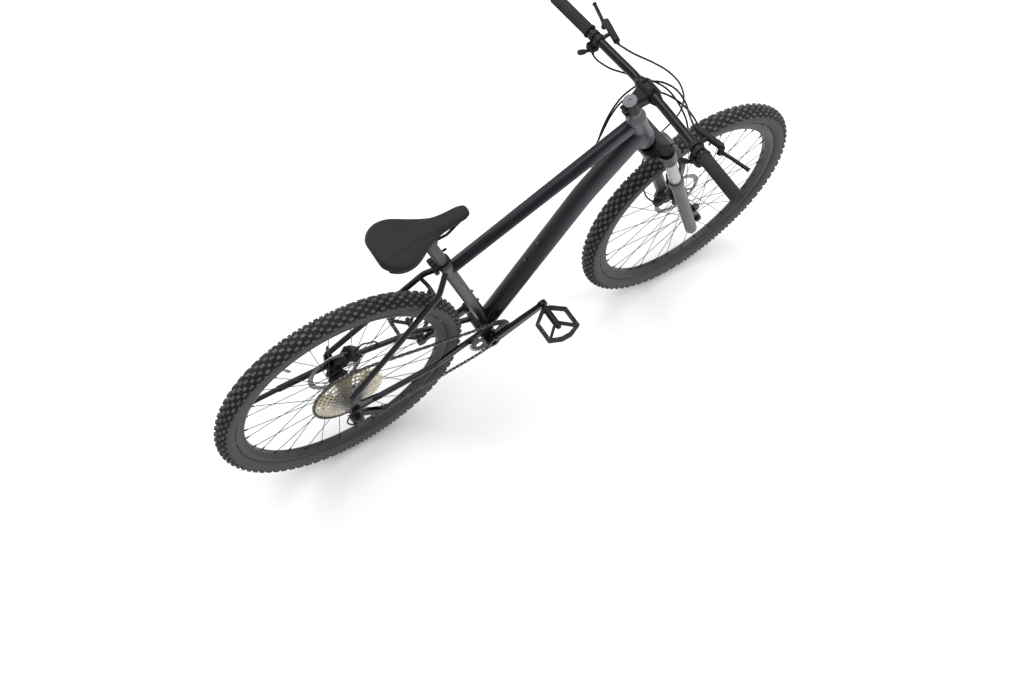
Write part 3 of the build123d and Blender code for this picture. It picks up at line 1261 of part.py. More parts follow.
brake_bodies = []
for hand, name in ((1, "brake_lever_left"), (-1, "brake_lever_right")):
    near = handed(master_near, hand)
    far = handed(master_far, hand)
    pivot = handed(blade_pivot, hand)
    along = (far - near).normalized()
    clamp_at = bar_point(hand * 188)
    bar_run = (bar_point(hand * 220) - clamp_at).normalized()
    with BuildPart() as master:
        rod(near - along * 6, far, 8.5)
        rod(clamp_at - bar_run * 6, clamp_at + bar_run * 6, bar_radius + 4.5)
        rod(clamp_at + Vector(10, 0, 2), near + along * 25, 5.0)
        rod(pivot + up * 6.4, pivot + up * 15, 7.5)
        rod(pivot - up * 9, pivot + up * 8, blade_pin_radius)
        rod(clamp_at - bar_run * 20, clamp_at + bar_run * 20, bar_radius, mode=Mode.SUBTRACT)
    with BuildPart() as reservoir:
        rod(near - along * 15, near - along * 6, 4.0)
    brake_bodies += [master, reservoir]
    tip = handed(blade_tip, hand)
    with BuildPart() as blade:
        rod(pivot - up * 6, pivot + up * 6, 7.5)
        knee = pivot + Vector(9, 26 * hand, 0)
        bent_tube([pivot + Vector(2, 5 * hand, 0), knee, tip], [40], 4.6)
        rod(tip - (tip - knee).normalized() * 1, tip + (tip - knee).normalized() * 3, 5.4)
        rod(pivot - up * 20, pivot + up * 20, blade_pin_radius + running_fit, mode=Mode.SUBTRACT)
    finish(blade, name)
write_set("brake_lever_bodies", *brake_bodies)

shifter_clamp_at = bar_point(-206)
shifter_run = (bar_point(-220) - bar_point(-190)).normalized()
shifter_at = Vector(318, -206, 974)
main_pin_at = Vector(306, -206, 966)
release_pin_at = Vector(330, -206, 966)
remote_clamp_at = bar_point(206)
remote_at = Vector(300, 200, 977)
remote_pin_at = Vector(296, 200, 970)
paddle_pin = 2.0

with BuildPart() as shifter:
    rod(shifter_clamp_at - shifter_run * 5, shifter_clamp_at + shifter_run * 5, bar_radius + 4)
    block(Plane(origin=shifter_at, x_dir=(1, 0, 0), z_dir=(0, 0, 1)), 44, 40, 13, corner=9)
    rod(shifter_at + Vector(0, 0, 4), shifter_clamp_at + Vector(4, 0, -12), 5.5)
    for pin_at in (main_pin_at, release_pin_at):
        rod(pin_at - up * 9, pin_at + up * 2, paddle_pin)
    rod(shifter_at + Vector(18, 16, 0), shifter_at + Vector(25, 24, 1), 3.6)
    rod(shifter_clamp_at - shifter_run * 20, shifter_clamp_at + shifter_run * 20, bar_radius,
        mode=Mode.SUBTRACT)
remote_run = (bar_point(220) - bar_point(190)).normalized()
with BuildPart() as remote:
    rod(remote_clamp_at - remote_run * 5, remote_clamp_at + remote_run * 5, bar_radius + 4)
    block(Plane(origin=remote_at, x_dir=(1, 0, 0), z_dir=(0, 0, 1)), 26, 28, 11, corner=7)
    rod(remote_at + Vector(0, 0, 3), remote_clamp_at + Vector(2, 0, -12), 5.0)
    rod(remote_pin_at - up * 9, remote_pin_at + up * 2, paddle_pin)
    rod(remote_at + Vector(-8, -12, 0), remote_at + Vector(-14, -21, 0), 3.4)
    rod(remote_clamp_at - remote_run * 20, remote_clamp_at + remote_run * 20, bar_radius, mode=Mode.SUBTRACT)
write_set("thumb_control_bodies", shifter, remote)


def build_paddle(name, pin_at, reach, drop):
    """A thumb paddle turning on an upright pin below its control."""
    top = pin_at - up * (1.2 + drop)
    with BuildPart() as paddle:
        rod(top - up * 3, top, 6.0)
        level = Plane(origin=top - up * 3, x_dir=(1, 0, 0), z_dir=(0, 0, 1))
        hull_of(level, [(0, 0, 4.5), (reach[0] * 0.7, reach[1] * 0.7, 4.5)], 3)
        hull_of(level.offset(-1.5), [(reach[0] * 0.7, reach[1] * 0.7, 7), (reach[0], reach[1], 7.5)], 4.5)
        rod(pin_at - up * 20, pin_at + up * 2, paddle_pin + running_fit, mode=Mode.SUBTRACT)
    finish(paddle, name)


build_paddle("shift_lever_main", main_pin_at, (-24, 22), 0.0)
build_paddle("shift_lever_release", release_pin_at, (-8, -36), 0.0)
build_paddle("remote_lever", remote_pin_at, (-26, 8), 0.0)

# ---------------------------------------------------------------- seatpost and saddle
cradle_at = on_seat(seatpost_top)
rail_radius = 3.5
rail_spread = 22.0
rail_z = cradle_at.Z + 9
rail_x = cradle_at.X

with BuildPart() as post:
    rod(on_seat(seatpost_bottom), on_seat(seatpost_top), seatpost_radius)
    rod(on_seat(seatpost_bottom - 1), on_seat(seatpost_top - 40), seatpost_radius - 2.2, mode=Mode.SUBTRACT)
    cradle = Plane(origin=(rail_x, 0, rail_z - 4.6), x_dir=(1, 0, 0), z_dir=(0, 0, 1))
    block(cradle, 40, 54, 9, corner=4)
    for hand in (1, -1):
        rod(Vector(rail_x - 30, rail_spread * hand, rail_z), Vector(rail_x + 30, rail_spread * hand, rail_z),
            rail_radius, mode=Mode.SUBTRACT)
with BuildPart() as upper_clamp:
    block(Plane(origin=(rail_x, 0, rail_z + 3.2), x_dir=(1, 0, 0), z_dir=(0, 0, 1)), 36, 54, 6, corner=4)
    for hand in (1, -1):
        rod(Vector(rail_x - 30, rail_spread * hand, rail_z), Vector(rail_x + 30, rail_spread * hand, rail_z),
            rail_radius, mode=Mode.SUBTRACT)
with BuildPart() as clamp_bolts:
    for step in (-13, 13):
        rod(Vector(rail_x + step, 0, rail_z + 6.2), Vector(rail_x + step, 0, rail_z + 8.2), 4.5)
write_set("seatpost", post, upper_clamp, clamp_bolts)

with BuildPart() as saddle_rails:
    for hand in (1, -1):
        bent_tube([Vector(-412, 40 * hand, 886.3), Vector(-352, rail_spread * hand, rail_z),
                   Vector(-252, rail_spread * hand, rail_z), Vector(-202, 9 * hand, 880.2)], [40, 40], rail_radius)
finish(saddle_rails, "saddle_rails")


def saddle_part(sections, low, high):
    """A body lofted nose to tail through flat-bottomed sections given as (x, half, base, crown)."""
    faces = []
    for x, half, base, crown in sections:
        bottom = base + low
        top = crown if high else base + low + 5
        with BuildSketch(Plane(origin=(x, 0, 0), x_dir=(0, 1, 0), z_dir=(1, 0, 0))) as section:
            with BuildLine():
                Polyline((-half, bottom + 1), (-half * 0.9, bottom), (half * 0.9, bottom), (half, bottom + 1))
                if high:
                    Spline((half, bottom + 1), (half * 0.96, bottom + (top - bottom) * 0.62),
                           (half * 0.62, top - 1.2), (0, top), (-half * 0.62, top - 1.2),
                           (-half * 0.96, bottom + (top - bottom) * 0.62), (-half, bottom + 1))
                else:
                    Polyline((half, bottom + 1), (half, top), (-half, top), (-half, bottom + 1))
            make_face()
        faces.append(section.sketch)
    loft(faces)


saddle_sections = [
    (-180, 12, 886, 900), (-192, 18, 885, 904), (-230, 21, 884, 905), (-275, 29, 884, 906),
    (-320, 52, 885, 909), (-362, 73, 887, 914), (-395, 72, 889, 917), (-418, 58, 891, 918),
    (-432, 34, 893, 915)]
with BuildPart() as saddle_cover:
    saddle_part(saddle_sections, 0.0, True)
finish(saddle_cover, "saddle_cover")
shell_sections = [(x, half - 4, base, crown) for x, half, base, crown in saddle_sections[1:-1]]
with BuildPart() as saddle_shell:
    saddle_part(shell_sections, -5.3, False)
    add(saddle_rails.part, mode=Mode.SUBTRACT)
finish(saddle_shell, "saddle_shell")

# ---------------------------------------------------------------- hoses and cables
line_radius = 2.4


def line_route(name, points, radius=line_radius):
    """A line along its route, its corners as wide as its runs allow; prints the tightest corner."""
    points = [Vector(*point) if isinstance(point, tuple) else point for point in points]
    runs = [after - before for before, after in zip(points, points[1:])]
    radii = []
    for before, after in zip(runs, runs[1:]):
        half_turn = radians(before.get_angle(after)) / 2
        radii.append(0.45 * min(before.length, after.length) / tan(half_turn))
    with BuildLine() as route:
        FilletPolyline(*points, radius=radii)
    path = route.line
    length = sum(edge.length for edge in path.edges())
    with BuildPart() as line:
        with BuildSketch(Plane(origin=path @ 0, z_dir=path % 0)) as section:
            Circle(radius)
        sweep(section.sketch, path=path)
    print(name, "length", round(length, 1), "mm, corner radii", [round(value) for value in radii],
          "volume ratio", round(line.part.volume / (pi * radius * radius * length), 4))
    print("    runs", [round(run.length) for run in runs])
    return line


right_exit = handed(master_near, -1) + (handed(master_near, -1) - handed(master_far, -1)).normalized() * 16.4
left_exit = master_near + (master_near - master_far).normalized() * 16.4
upper_run = (down_end - down_bend_at).normalized()
port_at = down_bend_at + upper_run * 72
front_port = front_caliper_at + front_out * 26 + left * 36.75
rear_port = caliper_at + caliper_out * 26 + left * (38.5 + rear_hub_half) / 2

rear_hose = line_route("rear brake hose", [
    right_exit, (346, -118, 1008), (362, -80, 1013), (366, -36, 1015), (352, 8, 1007), (324, 42, 982),
    (288, 56, 944), (257, 54, 902), (238, 50, 858), (226, 45, 816),
    port_at + left * 40 + upper_run * 9, port_at + left * 30.6 + upper_run * 5])
gear_cable = line_route("shift cable", [
    shifter_at + Vector(25.9, 25, 1.1), (352, -166, 980), (361, -134, 991), (363, -96, 998), (362, -56, 994),
    (356, -16, 984), (342, 20, 969), (316, 44, 951), (285, 54, 927), (256, 50, 894), (234, 44, 852),
    (217, 42, 812), port_at + left * 38 - upper_run * 5, port_at + left * 30.6 - upper_run * 10])
rear_hose_end = line_route("rear hose at the stay", [
    (-436, 68.5, 364), (-444, 69, 383), (-462, 64, 401), rear_port + caliper_out * 14, rear_port])
gear_cable_end = line_route("shift cable at the stay", [
    (-508, -84.6, 374.5), (-528, -88, 386), (-556, -91, 397), (-588, -92, 396), (-613, -92, 378),
    (-621, -91, 350), (-613, -90, 327), link_top + Vector(-13.5, -4, 2)])
write_set("frame_lines", rear_hose, gear_cable, rear_hose_end, gear_cable_end)

front_hose = line_route("front brake hose", [
    left_exit, (352, 112, 1003), (383, 84, 988), (424, 58, 958), (462, 42, 910), (486, 36, 855),
    (498, 40, 800), (503, 54, 744), (499, 74, 690), (485, 90, 638), (465, 96, 588),
    on_steer(200, -2, 92), on_steer(156, -14, 84), on_steer(122, -28, 68), on_steer(97, -37, 50),
    front_port + front_out * 6, front_port])
lockout_stop = on_steer(crown_race + 4.8, leg_forward + 19, -leg_spread + 8)
lockout_cable = line_route("lockout cable", [
    remote_at + Vector(-14.7, -22.2, 0), (284, 158, 976), (298, 124, 971), (334, 84, 966), (376, 54, 953),
    (408, 26, 932), (426, -6, 900), (434, -38, 866), (429, -60, 842), (408, -68, 828), lockout_stop])
with BuildPart() as stop_block:
    rod(on_steer(crown_race, leg_forward + 19, -leg_spread + 8),
        on_steer(crown_race + 2.2, leg_forward + 19, -leg_spread + 8), 2.6)
write_set("front_lines", front_hose, lockout_cable, stop_block)
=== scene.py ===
"""A hardtail trail bicycle, dressed and lit on the frame that its CAD model gives."""
from __future__ import annotations

import json
import logging
from dataclasses import dataclass, field
from enum import Enum
from math import acos, cos, exp, pi, radians, sin
from typing import Any, ClassVar

import bmesh
import bpy
from mathutils import Matrix, Quaternion, Vector

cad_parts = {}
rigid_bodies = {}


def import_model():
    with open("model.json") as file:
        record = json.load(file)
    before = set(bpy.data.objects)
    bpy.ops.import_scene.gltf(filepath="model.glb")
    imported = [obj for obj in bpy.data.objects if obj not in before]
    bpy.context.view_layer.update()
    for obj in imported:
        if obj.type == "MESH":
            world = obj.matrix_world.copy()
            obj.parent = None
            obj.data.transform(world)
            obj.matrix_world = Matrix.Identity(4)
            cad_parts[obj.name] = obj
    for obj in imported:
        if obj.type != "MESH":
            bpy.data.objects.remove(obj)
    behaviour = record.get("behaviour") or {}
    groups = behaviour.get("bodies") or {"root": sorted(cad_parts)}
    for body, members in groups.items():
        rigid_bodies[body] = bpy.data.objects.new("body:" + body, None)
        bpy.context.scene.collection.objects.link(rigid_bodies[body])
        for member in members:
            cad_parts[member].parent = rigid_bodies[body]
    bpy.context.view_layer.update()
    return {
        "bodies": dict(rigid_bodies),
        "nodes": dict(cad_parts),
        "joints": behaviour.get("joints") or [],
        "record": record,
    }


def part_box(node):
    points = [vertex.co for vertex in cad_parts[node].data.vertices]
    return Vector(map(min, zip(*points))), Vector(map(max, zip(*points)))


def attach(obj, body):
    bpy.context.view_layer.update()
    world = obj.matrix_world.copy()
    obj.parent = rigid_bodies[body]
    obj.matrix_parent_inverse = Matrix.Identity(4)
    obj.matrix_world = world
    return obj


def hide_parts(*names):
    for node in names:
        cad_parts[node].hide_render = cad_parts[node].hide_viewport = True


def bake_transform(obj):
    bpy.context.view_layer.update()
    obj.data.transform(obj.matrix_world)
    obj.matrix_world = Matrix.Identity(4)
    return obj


log = logging.getLogger("bicycle")
MM = 0.001


def linear(code: str) -> tuple[float, float, float, float]:
    """Turn an sRGB hex code into a linear colour with an alpha of one.

    Args:
        code: Six hex digits, with or without a leading hash.

    Returns:
        Red, green, blue and alpha, in linear light.
    """
    digits = code.lstrip("#")
    parts = [int(digits[place:place + 2], 16) / 255 for place in (0, 2, 4)]
    light = [value / 12.92 if value <= 0.04045 else ((value + 0.055) / 1.055) ** 2.4 for value in parts]
    return (light[0], light[1], light[2], 1.0)


def add_node(tree: bpy.types.NodeTree, kind: str, settings: dict[str, Any] | None = None,
             inputs: dict[Any, Any] | None = None) -> bpy.types.Node:
    """Add one node with its settings, and give its inputs values or links.

    Args:
        tree: The node tree that gets the node.
        kind: The node's type name.
        settings: Attributes to set on the node.
        inputs: Values or output sockets, keyed by the input's name or number.

    Returns:
        The new node.
    """
    made = tree.nodes.new(kind)
    for key, value in (settings or {}).items():
        setattr(made, key, value)
    for key, value in (inputs or {}).items():
        if isinstance(value, bpy.types.NodeSocket):
            tree.links.new(value, made.inputs[key])
        else:
            made.inputs[key].default_value = value
    return made


def link(name: str, data: bpy.types.ID) -> bpy.types.Object:
    """Put a new object in the scene.

    Args:
        name: The object's name.
        data: Its mesh, lamp or camera.

    Returns:
        The new object, at the origin.
    """
    piece = bpy.data.objects.new(name, data)
    bpy.context.scene.collection.objects.link(piece)
    return piece


def settle(piece: bpy.types.Object) -> None:
    """Apply a piece's modifiers and remove them.

    Args:
        piece: The piece.
    """
    bpy.context.view_layer.update()
    graph = bpy.context.evaluated_depsgraph_get()
    mesh = bpy.data.meshes.new_from_object(piece.evaluated_get(graph))
    piece.modifiers.clear()
    piece.data = mesh


def bridge(shape: bmesh.types.BMesh, one: list[bmesh.types.BMVert], two: list[bmesh.types.BMVert],
           smooth: bool = False) -> None:
    """Join two closed loops of points with a band of faces.

    Args:
        shape: The mesh that holds them.
        one: The first loop.
        two: The second loop, with as many points.
        smooth: Whether the band is shaded smooth.
    """
    for place in range(len(one)):
        after = (place + 1) % len(one)
        shape.faces.new((one[place], one[after], two[after], two[place])).smooth = smooth


def fit_nodes(piece: bpy.types.Object, name: str, tree: bpy.types.NodeTree, values: dict[str, Any]) -> None:
    """Give a piece a Geometry Nodes modifier, and set its inputs by their sockets' identifiers.

    Args:
        piece: The piece.
        name: The modifier's name.
        tree: The node tree.
        values: The inputs by name.
    """
    modifier = piece.modifiers.new(name, "NODES")
    modifier.node_group = tree
    for item in tree.interface.items_tree:
        if item.item_type == "SOCKET" and item.in_out == "INPUT" and item.name in values:
            modifier[item.identifier] = values[item.name]


class Grain(Enum):
    """How a surface was made, which sets the shape of its fine relief."""

    PEEL = "sprayed"
    MOULDED = "moulded"
    LEATHER = "embossed"


class Coat(Enum):
    """The finishes that the bicycle's pieces wear."""

    TOP_TUBE = "top tube lacquer"
    DOWN_TUBE = "down tube lacquer"
    GREY_LACQUER = "grey lacquer"
    SEAT_TUBE = "seat tube lacquer"
    STAYS = "stay lacquer"
    BLACK_LACQUER = "black lacquer"
    ANODISED = "anodised aluminium"
    POST = "anodised post"
    FORK = "fork lacquer"
    CHROME = "chromed steel"
    RIM = "anodised rim"
    SPOKE = "blackened spoke"
    HUB = "hub and rotor"
    TYRE = "tread rubber"
    CASING = "tyre casing"
    VALVE = "valve brass"
    COG = "cassette steel"
    CHAIN = "chain steel"
    CHAINRING = "chainring aluminium"
    PLASTIC = "glass-filled nylon"
    GRIP = "grip rubber"
    HOSE = "hose jacket"
    COVER = "saddle cover"
    RAIL = "rail steel"
    STEEL = "bearing steel"
    STAND = "stand lacquer"
    FLOOR = "floor paint"


@dataclass(frozen=True)
class Zone:
    """A part of a surface that has its own colour.

    A ring zone lies between two distances from an axis that runs across the bicycle. A side zone faces
    one way, and grows along a line from one place to another.
    """

    colour: str
    metallic: float = 0.0
    roughness: float = 0.4
    centre: tuple[float, float, float] = (0.0, 0.0, 0.0)
    start: float = 0.0
    end: float = 0.0
    facing: tuple[float, float, float] | None = None
    along: tuple[float, float, float] = (1.0, 0.0, 0.0)
    facing_from: float = 0.0
    facing_to: float = 0.7

    def mask(self, tree: bpy.types.NodeTree, coords: bpy.types.Node) -> bpy.types.NodeSocket:
        """Make the zone's mask, from nothing to one.

        Args:
            tree: The material's node tree.
            coords: Its texture coordinate node.

        Returns:
            The socket that carries the mask.
        """
        if self.facing is None:
            moved = add_node(tree, "ShaderNodeVectorMath", {"operation": "SUBTRACT"},
                             {0: coords.outputs["Object"], 1: self.centre})
            flat = add_node(tree, "ShaderNodeVectorMath", {"operation": "MULTIPLY"},
                            {0: moved.outputs[0], 1: (1.0, 0.0, 1.0)})
            far = add_node(tree, "ShaderNodeVectorMath", {"operation": "LENGTH"}, {0: flat.outputs[0]})
            ramp = add_node(tree, "ShaderNodeMapRange", {"interpolation_type": "SMOOTHSTEP"},
                            {0: far.outputs["Value"], 1: self.start, 2: self.end})
            return ramp.outputs[0]
        run = add_node(tree, "ShaderNodeVectorMath", {"operation": "DOT_PRODUCT"},
                       {0: coords.outputs["Object"], 1: self.along})
        grown = add_node(tree, "ShaderNodeMapRange", {"interpolation_type": "SMOOTHSTEP"},
                         {0: run.outputs["Value"], 1: self.start, 2: self.end})
        side = add_node(tree, "ShaderNodeVectorMath", {"operation": "DOT_PRODUCT"},
                        {0: coords.outputs["Normal"], 1: self.facing})
        turned = add_node(tree, "ShaderNodeMapRange", {"interpolation_type": "SMOOTHSTEP"},
                          {0: side.outputs["Value"], 1: self.facing_from, 2: self.facing_to})
        both = add_node(tree, "ShaderNodeMath", {"operation": "MULTIPLY"},
                        {0: grown.outputs[0], 1: turned.outputs[0]})
        return both.outputs[0]


@dataclass(frozen=True)
class Finish:
    """One surface finish, made of what the real surface is made of.

    Attributes:
        name: The material's common name and how its surface was made.
        colour: The colour of most of the surface.
        worn: The colour that handling and dust bring out in patches.
        metallic: One for bare or anodised metal, nothing for paint and plastic.
        roughness: The typical roughness.
        spread: How far the roughness wanders across the surface.
        coat: The clear coat's weight.
        coat_roughness: The clear coat's roughness.
        grain: How the surface was made.
        grain_mm: The relief's spacing in millimetres.
        relief: The relief's height in millimetres.
        patch_mm: The spacing of the slow colour changes, in millimetres.
        stretch: How much finer the grain is across each axis.
        sheen: The sheen of a soft surface.
        specular: The strength of the plain reflection.
        zones: Parts with their own colour.
        band_mm: The spacing of bands across the bicycle, or nothing.
    """

    name: str
    colour: str
    worn: str
    metallic: float = 0.0
    roughness: float = 0.4
    spread: float = 0.06
    coat: float = 0.0
    coat_roughness: float = 0.08
    grain: Grain = Grain.PEEL
    grain_mm: float = 2.0
    relief: float = 0.02
    patch_mm: float = 45.0
    stretch: tuple[float, float, float] = (1.0, 1.0, 1.0)
    sheen: float = 0.0
    specular: float = 0.5
    zones: tuple[Zone, ...] = ()
    band_mm: float = 0.0

    def build(self) -> bpy.types.Material:
        """Make the material.

        Returns:
            The finished node material.
        """
        material = bpy.data.materials.new(self.name)
        material.use_nodes = True
        tree = material.node_tree
        shader = tree.nodes["Principled BSDF"]
        coords = add_node(tree, "ShaderNodeTexCoord")
        patches = add_node(tree, "ShaderNodeTexNoise", None,
                           {"Vector": coords.outputs["Object"], "Scale": 1 / (self.patch_mm * MM),
                            "Detail": 4.0})
        tint = add_node(tree, "ShaderNodeMapRange", None, {0: patches.outputs[0], 1: 0.42, 2: 0.72})
        colour = add_node(tree, "ShaderNodeMix", {"data_type": "RGBA"},
                          {0: tint.outputs[0], 6: linear(self.colour), 7: linear(self.worn)}).outputs[2]
        level = add_node(tree, "ShaderNodeMapRange", None,
                         {0: patches.outputs[0], 1: 0.3, 2: 0.7, 3: max(self.roughness - self.spread, 0.03),
                          4: min(self.roughness + self.spread, 1.0)}).outputs[0]
        metal: bpy.types.NodeSocket | None = None
        for zone in self.zones:
            mask = zone.mask(tree, coords)
            colour = add_node(tree, "ShaderNodeMix", {"data_type": "RGBA"},
                              {0: mask, 6: colour, 7: linear(zone.colour)}).outputs[2]
            level = add_node(tree, "ShaderNodeMix", {"data_type": "FLOAT"},
                             {0: mask, 2: level, 3: zone.roughness}).outputs[0]
            if zone.metallic != self.metallic:
                metal = add_node(tree, "ShaderNodeMix", {"data_type": "FLOAT"},
                                 {0: mask, 2: metal if metal is not None else self.metallic,
                                  3: zone.metallic}).outputs[0]
        tree.links.new(colour, shader.inputs["Base Color"])
        tree.links.new(level, shader.inputs["Roughness"])
        if metal is None:
            shader.inputs["Metallic"].default_value = self.metallic
        else:
            tree.links.new(metal, shader.inputs["Metallic"])
        shader.inputs["Specular IOR Level"].default_value = self.specular
        shader.inputs["Coat Weight"].default_value = self.coat
        shader.inputs["Coat Roughness"].default_value = self.coat_roughness
        if self.sheen:
            shader.inputs["Sheen Weight"].default_value = self.sheen
            shader.inputs["Sheen Roughness"].default_value = 0.45
        tree.links.new(self.relief_of(tree, coords), shader.inputs["Normal"])
        return material

    def relief_of(self, tree: bpy.types.NodeTree, coords: bpy.types.Node) -> bpy.types.NodeSocket:
        """Make the fine relief.

        Args:
            tree: The material's node tree.
            coords: Its texture coordinate node.

        Returns:
            The normal that the shader takes.
        """
        scaled = add_node(tree, "ShaderNodeMapping", None,
                          {"Vector": coords.outputs["Object"], "Scale": self.stretch})
        if self.grain in (Grain.MOULDED, Grain.LEATHER):
            cells = add_node(tree, "ShaderNodeTexVoronoi", {"feature": "DISTANCE_TO_EDGE"},
                             {"Vector": scaled.outputs[0], "Scale": 1 / (self.grain_mm * MM)})
            height = add_node(tree, "ShaderNodeMapRange", None,
                              {0: cells.outputs[0], 1: 0.0, 2: 0.25}).outputs[0]
        else:
            height = add_node(tree, "ShaderNodeTexNoise", None,
                              {"Vector": scaled.outputs[0], "Scale": 1 / (self.grain_mm * MM),
                               "Detail": 3.0}).outputs[0]
        if self.band_mm:
            bands = add_node(tree, "ShaderNodeTexWave", {"bands_direction": "Y", "wave_profile": "SAW"},
                             {"Vector": coords.outputs["Object"], "Scale": pi / (10 * self.band_mm * MM)})
            height = add_node(tree, "ShaderNodeMath", {"operation": "MULTIPLY_ADD"},
                              {0: bands.outputs[1], 1: 4.0, 2: height}).outputs[0]
        bump = add_node(tree, "ShaderNodeBump", None,
                        {"Height": height, "Distance": self.relief * MM, "Strength": 1.0})
        return bump.outputs[0]


FINISHES: dict[Coat, Finish] = {
    # Sprayed enamel under clear lacquer: a deep even gloss with a faint orange peel.
    Coat.TOP_TUBE: Finish("sprayed_enamel_top_tube", "0A0A0F", "101020", roughness=0.36, coat=0.1,
                          coat_roughness=0.12, specular=0.2, grain_mm=2.4, relief=0.01,
                          zones=(Zone("4E5054", 0.2, 0.4, start=0.12, end=0.27,
                                      facing=(0.1, -0.86, -0.5), facing_from=0.2, facing_to=0.6),)),
    Coat.DOWN_TUBE: Finish("sprayed_enamel_down_tube", "18191C", "1F2023", roughness=0.42, coat=0.06,
                           coat_roughness=0.18, specular=0.25, grain_mm=2.4, relief=0.01,
                           zones=(Zone("515357", 0.2, 0.4, start=-0.04, end=0.28,
                                       facing=(0.35, -0.9, 0.1), facing_from=0.1, facing_to=0.75),
                                  Zone("0B0C0F", 0.0, 0.35, start=0.0, end=-0.12,
                                       facing=(0.0, 0.0, 1.0), facing_from=-3.0, facing_to=-2.0))),
    Coat.GREY_LACQUER: Finish("sprayed_enamel_head_tube", "5E6063", "545659", metallic=0.2, roughness=0.4,
                              coat=0.12, specular=0.4, grain_mm=2.4, relief=0.01),
    Coat.SEAT_TUBE: Finish("sprayed_enamel_seat_tube", "505153", "454648", metallic=0.2, roughness=0.42,
                           coat=0.1, specular=0.4, grain_mm=2.4, relief=0.01,
                           zones=(Zone("15161A", 0.0, 0.3, start=-0.5, end=-0.42, along=(0.0, 0.0, -1.0),
                                       facing=(0.0, 0.0, 1.0), facing_from=-3.0, facing_to=-2.0),)),
    Coat.STAYS: Finish("gloss_enamel_stays", "090A10", "0E1020", roughness=0.26, coat=0.3,
                       coat_roughness=0.06, specular=0.35, grain_mm=2.4, relief=0.008),
    Coat.BLACK_LACQUER: Finish("gloss_enamel_black", "08090A", "0D0E10", roughness=0.24, coat=0.12,
                               specular=0.22, grain_mm=2.0, relief=0.012),
    # Bead-blasted and anodised aluminium: a fine satin that takes the light broadly.
    Coat.ANODISED: Finish("anodised_aluminium_black", "0E0F11", "151618", metallic=0.15, roughness=0.42,
                          specular=0.25, grain_mm=0.9, relief=0.012),
    Coat.POST: Finish("anodised_aluminium_post", "4C4D50", "404144", metallic=0.5, roughness=0.45,
                      specular=0.35, grain_mm=0.9, relief=0.01, stretch=(1.0, 1.0, 0.2)),
    Coat.FORK: Finish("sprayed_enamel_fork", "47494C", "3F4144", roughness=0.42, coat=0.1,
                      specular=0.4, grain_mm=2.2, relief=0.012),
    # Hard chrome on steel: nearly a mirror, with fine lengthwise polishing.
    Coat.CHROME: Finish("hard_chrome_stanchion", "A9AAAC", "989A9C", metallic=0.9, roughness=0.3, spread=0.05,
                        grain_mm=1.2, relief=0.002, stretch=(1.0, 1.0, 0.15)),
    Coat.RIM: Finish("anodised_rim_black", "343536", "3C3D3E", metallic=0.3, roughness=0.42,
                     specular=0.35, grain_mm=1.2, relief=0.01),
    Coat.SPOKE: Finish("drawn_steel_spoke_black", "141517", "1D1E20", metallic=0.5, roughness=0.35,
                       specular=0.35, grain_mm=1.0, relief=0.004),
    Coat.VALVE: Finish("nickelled_brass_valve", "8E8A7C", "77746A", metallic=1.0, roughness=0.35,
                       grain_mm=0.7, relief=0.03),
    Coat.CHAIN: Finish("browned_chain_steel", "55544F", "33322F", metallic=0.75, roughness=0.36, grain_mm=1.5,
                       relief=0.02, patch_mm=9.0),
    Coat.CHAINRING: Finish("anodised_chainring_black", "0E0F11", "161719", metallic=0.3, roughness=0.36,
                           specular=0.35, grain_mm=1.0, relief=0.012),
    Coat.PLASTIC: Finish("moulded_nylon_black", "0F1011", "161718", roughness=0.55, specular=0.28,
                         grain=Grain.MOULDED, grain_mm=0.8, relief=0.03),
    Coat.GRIP: Finish("moulded_grip_rubber", "232425", "2E2F30", roughness=0.75, specular=0.2,
                      grain=Grain.MOULDED, grain_mm=1.6, relief=0.12, band_mm=5.0),
    Coat.HOSE: Finish("extruded_hose_jacket", "08090A", "0E0F10", roughness=0.4, specular=0.3,
                      grain_mm=1.6, relief=0.01),
    Coat.TYRE: Finish("moulded_tread_rubber", "4A4A49", "656563", roughness=0.86, specular=0.2,
                      grain_mm=1.4, relief=0.12, patch_mm=18.0),
    Coat.RAIL: Finish("drawn_steel_rail_black", "131416", "1B1C1E", metallic=0.5, roughness=0.34,
                      specular=0.3, grain_mm=1.0, relief=0.004),
    Coat.STEEL: Finish("turned_bearing_steel", "6B6D70", "55575A", metallic=1.0, roughness=0.3, grain_mm=0.8,
                       relief=0.006),
    Coat.STAND: Finish("powder_coated_stand", "0C0D0E", "131415", roughness=0.5, specular=0.28,
                       grain=Grain.MOULDED, grain_mm=1.4, relief=0.03),
    Coat.COVER: Finish("embossed_synthetic_leather", "17181A", "1E1F22", roughness=0.66, spread=0.05,
                       specular=0.22, grain=Grain.LEATHER, grain_mm=1.1, relief=0.05,
                       patch_mm=60.0, sheen=0.04),
    Coat.FLOOR: Finish("sealed_floor_paint", "F4F4F4", "F1F1F2", roughness=0.7, spread=0.04, grain_mm=6.0,
                       relief=0.01, patch_mm=900.0),
}


